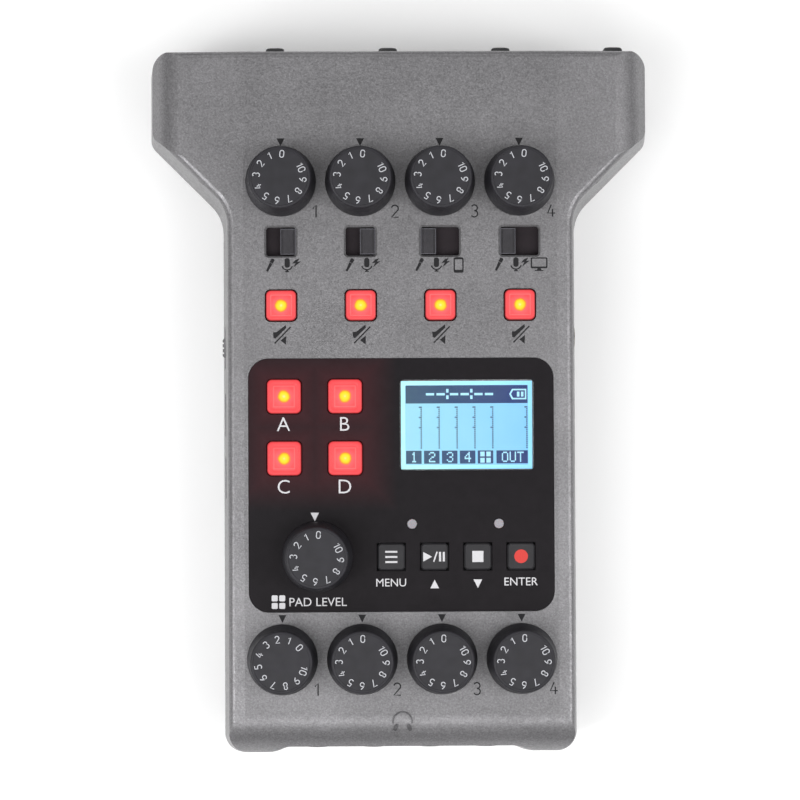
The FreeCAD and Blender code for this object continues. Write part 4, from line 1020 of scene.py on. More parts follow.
@dataclass
class Print:
    """Flat figures, gathered in millimetres and raised into one thin piece."""

    points: list[Point2] = field(default_factory=list)
    faces: list[Face] = field(default_factory=list)

    def area(self, *loops: Sequence[Point2]) -> None:
        """Adds a filled figure.

        Args:
            loops: Its outline and then any holes, which run the other way round.
        """
        start = len(self.points)
        rings = [[Vector((x, y, 0.0)) for x, y in loop] for loop in loops]
        self.points.extend((point.x, point.y) for ring in rings for point in ring)
        for corners in tessellate_polygon(rings):
            self.faces.append(tuple(start + index for index in corners))

    def words(
        self,
        text: str,
        height: float,
        x: float,
        y: float,
        anchor: Anchor = Anchor.MIDDLE,
        weight: float = 0.0,
    ) -> None:
        """Adds lettering.

        Args:
            text: The letters.
            height: Their height.
            x: Place across.
            y: Place up.
            anchor: Which point of the line the place gives.
            weight: How much the strokes are thickened.
        """
        flat, faces = lettering(text, weight)
        shift = -min(px for px, _ in flat) if anchor is Anchor.LEFT else 0.0
        start = len(self.points)
        self.points.extend((x + (px + shift) * height, y + py * height) for px, py in flat)
        self.faces.extend(tuple(start + index for index in face) for face in faces)

    def figure(
        self,
        text: str,
        height: float,
        x: float,
        y: float,
        turn: float,
        width: float,
    ) -> None:
        """Adds a number drawn in strokes.

        Args:
            text: The number.
            height: Its height.
            x: Place of its middle.
            y: Place of its middle.
            turn: Degrees that it is turned, counter-clockwise.
            width: Width of its strokes.
        """
        start = -sum(NUMERALS[sign][0] for sign in text) / 2
        for sign in text:
            room, paths = NUMERALS[sign]
            for path in paths:
                spots = [((start + room / 2 + px) * height, py * height) for px, py in path]
                self.stroke(swung(spots, x, y, turn), width)
            start += room

    def bar(self, x: float, y: float, wide: float, high: float, corner: float = 0.0) -> None:
        """Adds a rectangle around a centre, with round corners where a radius is given."""
        self.area(rounded(x, y, wide, high, max(corner, 0.001), 3 if corner else 1))

    def stroke(self, path: Sequence[Point2], width: float) -> None:
        """Adds a line with square ends.

        Args:
            path: The points along its middle.
            width: Its width.
        """
        left: list[Point2] = []
        right: list[Point2] = []
        for index, (x, y) in enumerate(path):
            before = path[max(index - 1, 0)]
            after = path[min(index + 1, len(path) - 1)]
            across, up = after[0] - before[0], after[1] - before[1]
            length = math.hypot(across, up)
            nx, ny = -up / length * width / 2, across / length * width / 2
            left.append((x + nx, y + ny))
            right.append((x - nx, y - ny))
        for index in range(len(path) - 1):
            self.area([left[index], left[index + 1], right[index + 1], right[index]])

    def triangle(self, x: float, y: float, wide: float, high: float) -> None:
        """Adds a triangle that points up, or down where high is below zero."""
        self.area([(x - wide / 2, y - high / 2), (x + wide / 2, y - high / 2), (x, y + high / 2)])

    def raised(
        self,
        name: str,
        body: str,
        slot: str,
        finish: Finish,
        place: Placer,
        rise: float = 0.03,
        sink: float = 0.01,
    ) -> bpy.types.Object:
        """Turns what was gathered into one thin piece.

        Args:
            name: The piece's name.
            body: The body that carries it.
            slot: The record's slot of its finish.
            finish: The ink or plastic.
            place: Where the plane lies.
            rise: How far it stands out of the surface.
            sink: How far its walls reach into the surface.

        Returns:
            The new object.
        """
        count = len(self.points)
        spots = [place(x, y, rise) for x, y in self.points] + [place(x, y, -sink) for x, y in self.points]
        faces: list[Face] = list(self.faces)
        uses: dict[frozenset[int], list[tuple[int, int]]] = {}
        for face in self.faces:
            for index, first in enumerate(face):
                second = face[(index + 1) % len(face)]
                uses.setdefault(frozenset((first, second)), []).append((first, second))
        for sides in uses.values():
            if len(sides) == 1 and sides[0][0] != sides[0][1]:
                first, second = sides[0]
                faces.append((second, first, first + count, second + count))
        return piece(name, spots, faces, body, slot, finish)


# Sub-assemblies


@dataclass
class CaseShells:
    """The two lacquered shells, their covers and the moulded sign at the front."""

    sign_y: float = -70.6
    sign_foot: float = 35.5
    sign_rise: float = 0.24
    band_radius: float = 2.1
    band_width: float = 0.34
    pad_x: float = 1.5
    pad_y: float = -1.35
    pad_size: Point2 = (0.85, 1.5)
    pad_corner: float = 0.25
    pad_lean: float = 24.0

    def build(self) -> None:
        """Dresses the shells and adds the sign."""
        for node in ("top_case", "bottom_case", "battery_cover", "card_cover", "power_switch"):
            dress(node, CASE)
        self.front_sign()

    def front_sign(self) -> None:
        """Raises a headphone sign from the sloping front edge, in darker lacquer that paints its shade."""
        sign = Print()
        band = circle(0.0, self.sign_y, self.band_radius, 20, -12.0, 204.0)
        sign.stroke(band, self.band_width)
        for side in (-1, 1):
            corners = rounded(0.0, 0.0, *self.pad_size, self.pad_corner, 3)
            sign.area(swung(corners, side * self.pad_x, self.sign_y + self.pad_y, side * self.pad_lean))
        ground = above("top_case", self.sign_foot)
        sign.raised(
            "front_headphone_sign",
            "case",
            "case_grey",
            SHADED_SIGN_LACQUER,
            ground,
            rise=self.sign_rise,
            sink=0.1,
        )


@dataclass
class Openings:
    """What rounds the corners of the openings in the top, and what closes the slots from below."""

    foot: float = 34.4
    sunk: float = 0.01
    corner: float = 1.25
    mute_side: float = 7.2
    pad_side: float = 7.9
    slot_y: float = 34.9
    slot_high: float = 6.3
    short_slot: float = 6.55
    long_slot: float = 8.5
    slot_corner: float = 0.6
    slot_bevel: float = 0.4
    slider_room: float = 3.4
    slider_size: Point2 = (3.3, 5.6)
    slider_line: float = 0.11
    slider_top: float = 36.1
    shield_high: float = 7.2
    shield_foot: float = 34.15
    shield_step: float = 0.07
    film: float = 0.02

    def build(self) -> None:
        """Rounds every opening and shields every slot."""
        for number, column in zip(CHANNELS, COLUMNS):
            name = f"mute_opening_{number}_corners"
            size = (self.mute_side, self.mute_side)
            self.round_off(name, CASE, "case_grey", (column, MUTE_Y), size, CASE_TOP, self.corner)
            short = number in (1, 2)
            wide = self.short_slot if short else self.long_slot
            self.round_off(
                f"slot_{number}_corners",
                CASE,
                "case_grey",
                (column, self.slot_y),
                (wide, self.slot_high),
                CASE_TOP,
                self.slot_corner,
                self.slot_bevel,
            )
            rest = (wide - self.slider_room) / 2
            self.shield(number, column + (rest if short else -rest), wide)
        for letter, x, y in PADS:
            name = f"pad_opening_{letter}_corners"
            size = (self.pad_side, self.pad_side)
            self.round_off(name, PANEL, "panel_black", (x, y), size, PANEL_TOP, self.corner)

    def round_off(
        self,
        name: str,
        finish: Finish,
        slot: str,
        middle: Point2,
        size: Point2,
        top: float,
        corner: float,
        bevel: float = 0.0,
    ) -> None:
        """Fills the four corners of an opening up to their rounding.

        Args:
            name: The piece's name.
            finish: What it is made of.
            slot: The record's slot of its finish.
            middle: Middle of the opening.
            size: Its width and depth.
            top: Height of the surface round it.
            corner: Radius of the rounding.
            bevel: How much wider the opening gets at its top.
        """
        points: list[Point3] = []
        faces: list[Face] = []
        levels = ((self.foot, 0.0), (top - bevel, 0.0), (top - self.sunk, bevel))
        for index, (side, up) in enumerate(QUARTERS):
            x = middle[0] + side * (size[0] / 2 - corner)
            y = middle[1] + up * (size[1] / 2 - corner)
            rings = []
            for z, wider in levels:
                reach = corner + wider
                arc = circle(x, y, reach, 6, 90.0 * index, 90.0)
                tip = (x + side * reach, y + up * reach)
                rings.append([(px, py, z) for px, py in (tip, *reversed(arc))])
            spots, skins = lofted(rings)
            faces.extend(tuple(len(points) + number for number in skin) for skin in skins)
            points.extend(spots)
        piece(name, points, faces, "case", slot, finish)

    def shield(self, number: int, x: float, wide: float) -> None:
        """Lays the black strip under a slider that hides the switch below it and stands in for the shade
        in the slot, and paints a highlight line round the slider.

        Args:
            number: The channel's number.
            x: Middle of the slider at rest.
            wide: Width of its slot.
        """
        node = f"input_switch_{number}"
        slider_wide, slider_high = self.slider_size
        foot = self.shield_foot + self.shield_step * (number % 2)
        # Painted shade: the dark strip fills the slot where shade falls.
        strip = Print()
        strip.area(rounded(x, self.slot_y, 2 * wide - slider_wide, self.shield_high, 0.3, 2))
        strip.raised(
            f"{node}_shield",
            node,
            "switch_black",
            SHADOW,
            level(foot),
            rise=self.film,
            sink=self.film,
        )
        # Painted highlight line round the top of the slider.
        edge = Print()
        outer = rounded(x, self.slot_y, slider_wide, slider_high, 0.15, 2)
        inner_wide, inner_high = (side - 2 * self.slider_line for side in self.slider_size)
        inner = rounded(x, self.slot_y, inner_wide, inner_high, 0.1, 2)
        edge.area(outer, list(reversed(inner)))
        top = level(self.slider_top)
        edge.raised(f"{node}_edge", node, "switch_black", SLIDER_EDGE_HIGHLIGHT, top, rise=self.film)


@dataclass
class ChannelPrints:
    """The black printing on the lacquered top: numbers, pointers and input signs.

    A sign's boxes give the place of its middle, its width and its height, and are moved up by rise.
    """

    icon_shift: float = -2.17
    last_shift: float = 0.6
    rise: float = 0.38
    number_height: float = 2.65
    number_line: float = 0.30
    number_aside: float = 7.6
    number_drop: float = 6.6
    pointer_size: float = 1.75
    gain_pointer_y: float = 56.75
    phones_pointer_y: float = -48.0
    capsule: Box = (1.37, 29.82, 1.14, 2.12)
    post: Box = (1.37, 28.08, 0.30, 0.42)
    plate: Box = (1.37, 27.90, 0.86, 0.26)
    cradle: Point2 = (1.37, 29.42)
    cradle_radius: float = 1.16
    cradle_line: float = 0.28
    handset: Box = (4.07, 29.22, 2.20, 3.42)
    handset_room: Box = (4.07, 29.30, 1.62, 2.30)
    monitor: Box = (4.30, 29.62, 3.70, 2.40)
    monitor_room: Box = (4.30, 29.68, 3.10, 1.74)
    monitor_foot: Box = (4.30, 27.92, 1.90, 0.22)
    strike_line: float = 0.30

    def build(self) -> None:
        """Prints every channel's signs."""
        signs = (InputSign.NONE, InputSign.NONE, InputSign.HANDSET, InputSign.COMPUTER)
        ground = above("top_case", CASE_TOP)
        for number, column, extra in zip(CHANNELS, COLUMNS, signs):
            ink = Print()
            last = self.last_shift if number == CHANNELS[-1] else 0.0
            x = column + self.number_aside - last
            for row in (GAIN_Y, PHONES_Y):
                y = row - self.number_drop
                ink.figure(str(number), self.number_height, x, y, 0.0, self.number_line)
            for row in (self.gain_pointer_y, self.phones_pointer_y):
                ink.triangle(column, row, self.pointer_size, -self.pointer_size)
            shift = column + (self.icon_shift if extra is not InputSign.NONE else 0.0)
            self.hand_microphone(ink, shift)
            self.stand_microphone(ink, shift)
            self.bolt(ink, shift)
            self.extra_sign(ink, column, extra)
            self.mute_sign(ink, column)
            ink.raised(f"channel_{number}_prints", "case", "switch_black", BLACK_INK, ground, rise=FILM)

    def hand_microphone(self, ink: Print, x: float) -> None:
        """Draws a hand-held microphone that leans to the right.

        Args:
            ink: The print that it is added to.
            x: Middle of the signs.
        """
        handle = [(-3.28, 28.08), (-2.88, 27.86), (-1.88, 29.60), (-2.48, 29.92)]
        head = [(-2.50, 30.02), (-1.80, 29.66), (-1.38, 30.34), (-1.60, 30.72), (-2.06, 30.82)]
        for figure in (handle, head):
            ink.area([(x + across, self.rise + up) for across, up in figure])

    def stand_microphone(self, ink: Print, x: float) -> None:
        """Draws a studio microphone in its cradle.

        Args:
            ink: The print that it is added to.
            x: Middle of the signs.
        """
        across, up = self.cradle
        ink.area(rounded(*self.placed(x, self.capsule), 0.5, 5))
        arc = circle(x + across, self.rise + up, self.cradle_radius, 12, 196.0, 148.0)
        ink.stroke(arc, self.cradle_line)
        ink.bar(*self.placed(x, self.post))
        ink.bar(*self.placed(x, self.plate))

    def placed(self, x: float, box: Box) -> Box:
        """Returns a box of a sign at its place in a channel."""
        return (x + box[0], self.rise + box[1], box[2], box[3])

    def bolt(self, ink: Print, x: float) -> None:
        """Draws the lightning sign of a powered microphone.

        Args:
            ink: The print that it is added to.
            x: Middle of the signs.
        """
        upper = [(4.10, 30.80), (3.16, 30.46), (2.48, 29.66), (3.20, 29.78)]
        lower = [(2.72, 28.80), (4.42, 30.14), (3.62, 30.05)]
        ink.area([(x + across, self.rise + up) for across, up in upper + lower])

    def extra_sign(self, ink: Print, x: float, sign: InputSign) -> None:
        """Draws the third source of a channel, where it has one.

        Args:
            ink: The print that it is added to.
            x: The channel's middle.
            sign: Which sign it is.
        """
        if sign is InputSign.HANDSET:
            outer = rounded(*self.placed(x, self.handset), 0.40, 3)
            ink.area(outer, list(reversed(rounded(*self.placed(x, self.handset_room), 0.10, 2))))
        elif sign is InputSign.COMPUTER:
            outer = rounded(*self.placed(x, self.monitor), 0.28, 3)
            ink.area(outer, list(reversed(rounded(*self.placed(x, self.monitor_room), 0.10, 2))))
            stand = [(3.95, 28.42), (4.65, 28.42), (4.85, 28.02), (3.75, 28.02)]
            ink.area([(x + across, self.rise + up) for across, up in stand])
            ink.bar(*self.placed(x, self.monitor_foot))

    def mute_sign(self, ink: Print, x: float) -> None:
        """Draws a loudspeaker that is struck through.

        Args:
            ink: The print that it is added to.
            x: The channel's middle.
        """
        upper = [(-1.82, 14.92), (-1.06, 14.97), (0.99, 16.54)]
        lower = [(1.10, 15.87), (-1.29, 13.55), (-1.71, 13.73)]
        ink.area([(x + across, up) for across, up in upper + lower])
        strike = [(2.06, 16.10), (-1.46, 12.49)]
        ink.stroke([(x + across, up) for across, up in strike], self.strike_line)
        lobe = [(-0.17, 13.15), (1.02, 12.20), (1.10, 14.15)]
        ink.area([(x + across, up) for across, up in lobe])


@dataclass
class ControlPanel:
    """The black control panel and its white printing."""

    letter_height: float = 3.0
    label_height: float = 1.72
    letter_weight: float = -0.006
    name_height: float = 1.85
    letters: tuple[tuple[str, float, float], ...] = (
        ("A", -25.85, -5.25),
        ("B", -12.4, -5.25),
        ("C", -25.85, -19.0),
        ("D", -12.4, -19.0),
    )
    labels: tuple[tuple[str, float, float], ...] = (("MENU", -2.35, -40.15), ("ENTER", 26.2, -40.05))
    arrows: tuple[Box, ...] = (
        (7.2, -40.5, 1.9, 1.9),
        (16.7, -40.5, 1.9, -1.9),
        (-19.05, -25.65, 1.85, -1.85),
    )
    name_place: Point2 = (-24.7, -44.3)
    squares: Point2 = (-27.1, -44.3)
    square_reach: float = 0.83
    square_side: float = 1.32
    square_corner: float = 0.25

    def build(self) -> None:
        """Dresses the panel and prints on it."""
        dress("control_panel", PANEL)
        ink = Print()
        for letter, x, y in self.letters:
            ink.words(letter, self.letter_height, x, y, weight=self.letter_weight)
        for label, x, y in self.labels:
            ink.words(label, self.label_height, x, y)
        for arrow in self.arrows:
            ink.triangle(*arrow)
        for side in (-1, 1):
            for row in (-1, 1):
                x = self.squares[0] + side * self.square_reach
                y = self.squares[1] + row * self.square_reach
                ink.bar(x, y, self.square_side, self.square_side, self.square_corner)
        ink.words("PAD LEVEL", self.name_height, *self.name_place, anchor=Anchor.LEFT)
        ink.raised("panel_prints", "case", "lamp_white", WHITE_INK, level(PANEL_TOP), rise=FILM)


@dataclass
class Display:
    """The lit display behind its window: glow, meters, boxes and time.

    The picture's own marks are counted in points of the picture, which step and centre turn into
    millimetres.
    """

    x: float = 14.45
    y: float = -5.6
    wide: float = 31.0
    high: float = 21.4
    glass: float = 34.85
    inner_wide: float = 27.1
    inner_high: float = 17.6
    mask_wide: float = 29.6
    mask_high: float = 20.1
    mask_line: float = 0.075
    corner: float = 0.95
    step: float = 49.15
    centre: Point2 = (775.0, 585.0)
    header: Box = (115.0, 155.0, 1437.0, 350.0)
    box_rows: Point2 = (862.0, 1003.0)
    box_left: float = 118.0
    box_pitch: float = 194.0
    box_wide: float = 168.0
    last_box: Point2 = (1097.0, 1437.0)
    meters: tuple[float, ...] = (288.0, 482.0, 676.0, 869.0, 1062.0, 1432.0)
    meter_top: float = 392.0
    dots: int = 21
    dot_pitch: float = 22.0
    dot_half: float = 7.0
    dot_left: float = 12.0
    dot_right: float = 4.0
    long_dots: tuple[int, ...] = (0, 5, 10)
    long_left: float = 30.0
    dashes: tuple[float, ...] = (335.0, 450.0, 596.0, 711.0, 860.0, 974.0)
    dash_rows: Point2 = (238.0, 264.0)
    dash_wide: float = 90.0
    colons: Point2 = (568.0, 828.0)
    colon_rows: Point2 = (214.0, 284.0)
    colon_half: Point2 = (13.0, 20.0)
    digits: tuple[tuple[str, float], ...] = (("1", 205.0), ("2", 400.0), ("3", 594.0), ("4", 787.0))
    text_row: float = 932.0
    squares: Point2 = (978.0, 934.0)
    square_reach: Point2 = (33.0, 34.0)
    square_half: Point2 = (24.0, 26.0)
    out_left: float = 1190.0
    out_pitch: float = 84.0
    cell: tuple[Point2, ...] = ((1238, 252), (1268, 196), (1424, 196), (1424, 310), (1268, 310))
    cell_room: tuple[Point2, ...] = ((1258, 252), (1280, 212), (1408, 212), (1408, 294), (1280, 294))
    charges: Point2 = (1322.0, 1366.0)
    charge_rows: Point2 = (226.0, 280.0)
    charge_wide: float = 27.0
    pixel_pitch: Point2 = (14.0, 16.0)
    pixel_gap: float = 0.6
    letter_middle: Point2 = (2.5, 3.5)
    glyphs: tuple[tuple[str, str], ...] = (
        ("1", "..#../.##../..#../..#../..#../..#../.###."),
        ("2", ".###./#...#/....#/..##./.#.../#..../#####"),
        ("3", ".###./#...#/....#/..##./....#/#...#/.###."),
        ("4", "...#./..##./.#.#./#..#./#####/...#./...#."),
        ("O", ".###./#...#/#...#/#...#/#...#/#...#/.###."),
        ("U", "#...#/#...#/#...#/#...#/#...#/#...#/.###."),
        ("T", "#####/..#../..#../..#../..#../..#../..#.."),
    )

    def build(self) -> None:
        """Lays the picture on the display glass."""
        dress("lcd_module", LCD_BODY)
        dress("display_lens", WINDOW)
        self.mask()
        glass = level(self.glass)
        edge = Print()
        edge.area(rounded(self.x, self.y, self.wide - 0.2, self.high - 0.2, 0.4, 3))
        edge.raised("display_edge_light", "case", "display_blue", GLOW_EDGE, glass, rise=0.01)
        sheet = Print()
        sheet.area(rounded(self.x, self.y, self.inner_wide, self.inner_high, 0.3, 3))
        sheet.raised("display_light", "case", "display_blue", GLOW, glass, rise=0.03)
        dark, light = self.dark_marks(), self.light_marks()
        dark.raised("display_marks", "case", "display_blue", SEGMENT, glass, rise=0.05)
        light.raised("display_figures", "case", "display_blue", SEGMENT_LIGHT, glass, rise=0.07)

    def mask(self) -> None:
        """Prints the black corners on the window that round the picture."""
        rim = Print()
        outer = rounded(self.x, self.y, self.mask_wide, self.mask_high, 0.05, 1)
        wide, high = (side - 2 * self.mask_line for side in (self.mask_wide, self.mask_high))
        inner = rounded(self.x, self.y, wide, high, self.corner, 5)
        rim.area(outer, list(reversed(inner)))
        rim.raised("display_rim", "case", "panel_black", PANEL, level(PANEL_TOP), rise=0.012, sink=0.0)

    def spot(self, across: float, down: float) -> Point2:
        """Finds a point of the picture.

        Args:
            across: Points from its left side.
            down: Points from its upper side.

        Returns:
            The place in millimetres.
        """
        middle, half_down = self.centre
        return (self.x + (across - middle) / self.step, self.y - (down - half_down) / self.step)

    def block(self, ink: Print, left: float, top: float, right: float, bottom: float) -> None:
        """Adds a rectangle between two points of the picture.

        Args:
            ink: The print that it is added to.
            left: Its left side.
            top: Its upper side.
            right: Its right side.
            bottom: Its lower side.
        """
        x0, y0 = self.spot(left, top)
        x1, y1 = self.spot(right, bottom)
        ink.bar((x0 + x1) / 2, (y0 + y1) / 2, abs(x1 - x0), abs(y1 - y0))

    def boxes(self) -> list[Point2]:
        """Returns the left and right edges of the boxes at the foot of the picture."""
        lefts = [self.box_left + self.box_pitch * index for index in range(5)]
        return [*((left, left + self.box_wide) for left in lefts), self.last_box]

    def dark_marks(self) -> Print:
        """Draws the header, the boxes and the dotted meters.

        Returns:
            The print that holds them.
        """
        ink = Print()
        self.block(ink, *self.header)
        top, bottom = self.box_rows
        for left, right in self.boxes():
            self.block(ink, left, top, right, bottom)
        for meter in self.meters:
            for dot in range(self.dots):
                down = self.meter_top + self.dot_pitch * dot
                left = meter - (self.long_left if dot in self.long_dots else self.dot_left)
                right = meter + self.dot_right
                self.block(ink, left, down - self.dot_half, right, down + self.dot_half)
        return ink

    def light_marks(self) -> Print:
        """Draws the idle time, the battery sign and the lettering in the boxes.

        Returns:
            The print that holds them.
        """
        ink = Print()
        for left in self.dashes:
            self.block(ink, left, self.dash_rows[0], left + self.dash_wide, self.dash_rows[1])
        for middle in self.colons:
            for down in self.colon_rows:
                self.dot(ink, middle, down, self.colon_half)
        self.battery_sign(ink)
        for text, middle in self.digits:
            self.pixels(ink, text, middle, self.text_row)
        for side in (-1, 1):
            for row in (-1, 1):
                middle = self.squares[0] + side * self.square_reach[0]
                down = self.squares[1] + row * self.square_reach[1]
                self.dot(ink, middle, down, self.square_half)
        for index, text in enumerate("OUT"):
            self.pixels(ink, text, self.out_left + self.out_pitch * index, self.text_row)
        return ink

    def dot(self, ink: Print, middle: float, down: float, half: Point2) -> None:
        """Adds a rectangle around a point of the picture."""
        self.block(ink, middle - half[0], down - half[1], middle + half[0], down + half[1])

    def battery_sign(self, ink: Print) -> None:
        """Draws a battery with two bars of charge.

        Args:
            ink: The print that it is added to.
        """
        outline = [self.spot(*corner) for corner in self.cell]
        ink.area(outline, [self.spot(*corner) for corner in reversed(self.cell_room)])
        top, bottom = self.charge_rows
        for left in self.charges:
            self.block(ink, left, top, left + self.charge_wide, bottom)

    def pixels(self, ink: Print, letter: str, middle: float, down: float) -> None:
        """Draws one letter of dots around a point of the picture.

        Args:
            ink: The print that it is added to.
            letter: The letter.
            middle: The point's place across.
            down: The point's place down.
        """
        wide, high = self.pixel_pitch
        left_part, upper_part = self.letter_middle
        for row, line in enumerate(dict(self.glyphs)[letter].split("/")):
            for column, mark in enumerate(line):
                if mark == "#":
                    left, top = middle + (column - left_part) * wide, down + (row - upper_part) * high
                    right, bottom = left + wide - self.pixel_gap, top + high - self.pixel_gap
                    self.block(ink, left, top, right, bottom)


@dataclass
class Dial:
    """A round knob with its ring of numerals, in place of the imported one."""

    node: str
    x: float
    y: float
    zero: float
    foot: float = 37.0
    top: float = 47.0
    skirt: float = 7.75
    crown: float = 6.72
    ring: float = 5.08
    height: float = 1.50
    line: float = 0.20
    stem: float = 2.95
    stem_foot: float = 28.2
    lip: float = 0.08
    sides: int = 96
    numbers: int = 11
    pitch: float = 30.0

    def build(self) -> None:
        """Builds the knob and prints its numerals."""
        face = self.top - self.lip
        profile = [
            (0.0, face),
            (self.crown - 0.62, face),
            (self.crown - 0.56, self.top),
            (self.crown - 0.38, self.top),
            (self.crown - 0.16, self.top - 0.05),
            (self.crown, self.top - 0.2),
            (self.crown + 0.08, self.top - 0.46),
            (self.skirt - 0.04, self.foot + 0.55),
            (self.skirt, self.foot + 0.3),
            (self.skirt - 0.05, self.foot + 0.08),
            (self.skirt - 0.2, self.foot),
            (self.stem, self.foot),
            (self.stem, self.stem_foot),
            (0.0, self.stem_foot),
        ]
        points, faces = turned(profile, self.sides, lambda x, y, z: (self.x + x, self.y + y, z))
        skin = piece(f"{self.node}_round", points, faces, self.node, "knob_black", KNOB, soft=32.0)
        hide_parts(self.node)
        ink = Print()
        for number in range(self.numbers):
            angle = self.pitch * number - self.zero
            x, y = swung([(0.0, self.ring)], self.x, self.y, angle)[0]
            ink.figure(str(number), self.height, x, y, angle, self.line)
        ink.raised(f"{self.node}_numerals", self.node, "lamp_white", NUMERAL_INK, level(face), rise=0.02)


@dataclass
class LitButton:
    """A rounded silicone button that glows from its middle."""

    node: str
    x: float
    y: float
    side: float
    flange: float
    foot: float = 28.7
    top: float = 37.3
    corner: float = 1.12
    edge: float = 0.42
    hollow: float = 1.8
    hollow_top: float = 33.0
    flange_foot: float = 33.5
    flange_top: float = 34.15
    plan: float = 10.0

    def build(self) -> None:
        """Builds the button with its flange and its lamp hollow."""
        half, wide, corner = self.side / 2, self.flange / 2, self.corner
        sections = [
            (self.hollow_top, 0.05, 0.01),
            (self.hollow_top, self.hollow, 0.3),
            (self.foot, self.hollow, 0.3),
            (self.foot, half, corner),
            (self.flange_foot, half, corner),
            (self.flange_foot, wide, corner),
            (self.flange_top, wide, corner),
            (self.flange_top, half, corner),
            (self.top - self.edge, half, corner),
            (self.top - self.edge * 0.5, half - 0.06, corner),
            (self.top - self.edge * 0.2, half - 0.17, corner),
            (self.top, half - 0.38, corner - 0.2),
            (self.top, half - 0.86, corner - 0.3),
            (self.top - 0.07, half - 0.98, corner - 0.35),
            (self.top - 0.07, half - 1.08, corner - 0.4),
            (self.top - 0.02, half - 1.2, corner - 0.4),
            (self.top - 0.02, 0.05, 0.01),
        ]
        rings = []
        for z, reach, bend in sections:
            outline = rounded(self.x, self.y, reach * 2, reach * 2, bend, 6)
            rings.append([(x, y, z) for x, y in outline])
        points, faces = lofted(rings)
        cap = piece(f"{self.node}_cap", points, faces, self.node, "button_red", LIT, soft=SOFT_EDGE)
        plan = cap.data.uv_layers.new(name="plan")
        for loop in cap.data.loops:
            spot = cap.data.vertices[loop.vertex_index].co
            aside, along = spot.x / MM - self.x, spot.y / MM - self.y
            plan.data[loop.index].uv = (0.5 + aside / self.plan, 0.5 + along / self.plan)
        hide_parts(self.node)


@dataclass
class FlatKey:
    """A flat key of the panel with its sign."""

    node: str
    x: float
    sign: KeySign
    y: float = -34.5
    top: float = 36.9
    line_size: Point2 = (2.65, 0.42)
    line_pitch: float = 1.12
    stop_side: float = 2.45
    record_radius: float = 1.5

    def build(self) -> None:
        """Dresses the key and prints its sign."""
        dress(self.node, KEY)
        ink = Print()
        finish, slot = WHITE_INK, "lamp_white"
        if self.sign is KeySign.MENU:
            for row in (-1, 0, 1):
                ink.bar(self.x, self.y + row * self.line_pitch, *self.line_size)
        elif self.sign is KeySign.PLAY:
            self.play_sign(ink)
        elif self.sign is KeySign.STOP:
            ink.bar(self.x, self.y, self.stop_side, self.stop_side)
        else:
            ink.area(circle(self.x, self.y, self.record_radius, 32))
            finish, slot = RED_INK, "button_red"
        ink.raised(f"{self.node}_sign", self.node, slot, finish, level(self.top), rise=FILM)

    def play_sign(self, ink: Print) -> None:
        """Draws an arrow head, a slanted line and two bars.

        Args:
            ink: The print that it is added to.
        """
        arrow = [(-2.5, -1.05), (-0.55, 0.0), (-2.5, 1.05)]
        ink.area([(self.x + across, self.y + up) for across, up in arrow])
        ink.stroke([(self.x - 0.2, self.y - 1.1), (self.x + 0.55, self.y + 1.1)], 0.3)
        for across in (1.2, 2.02):
            ink.bar(self.x + across, self.y, 0.46, 2.1)


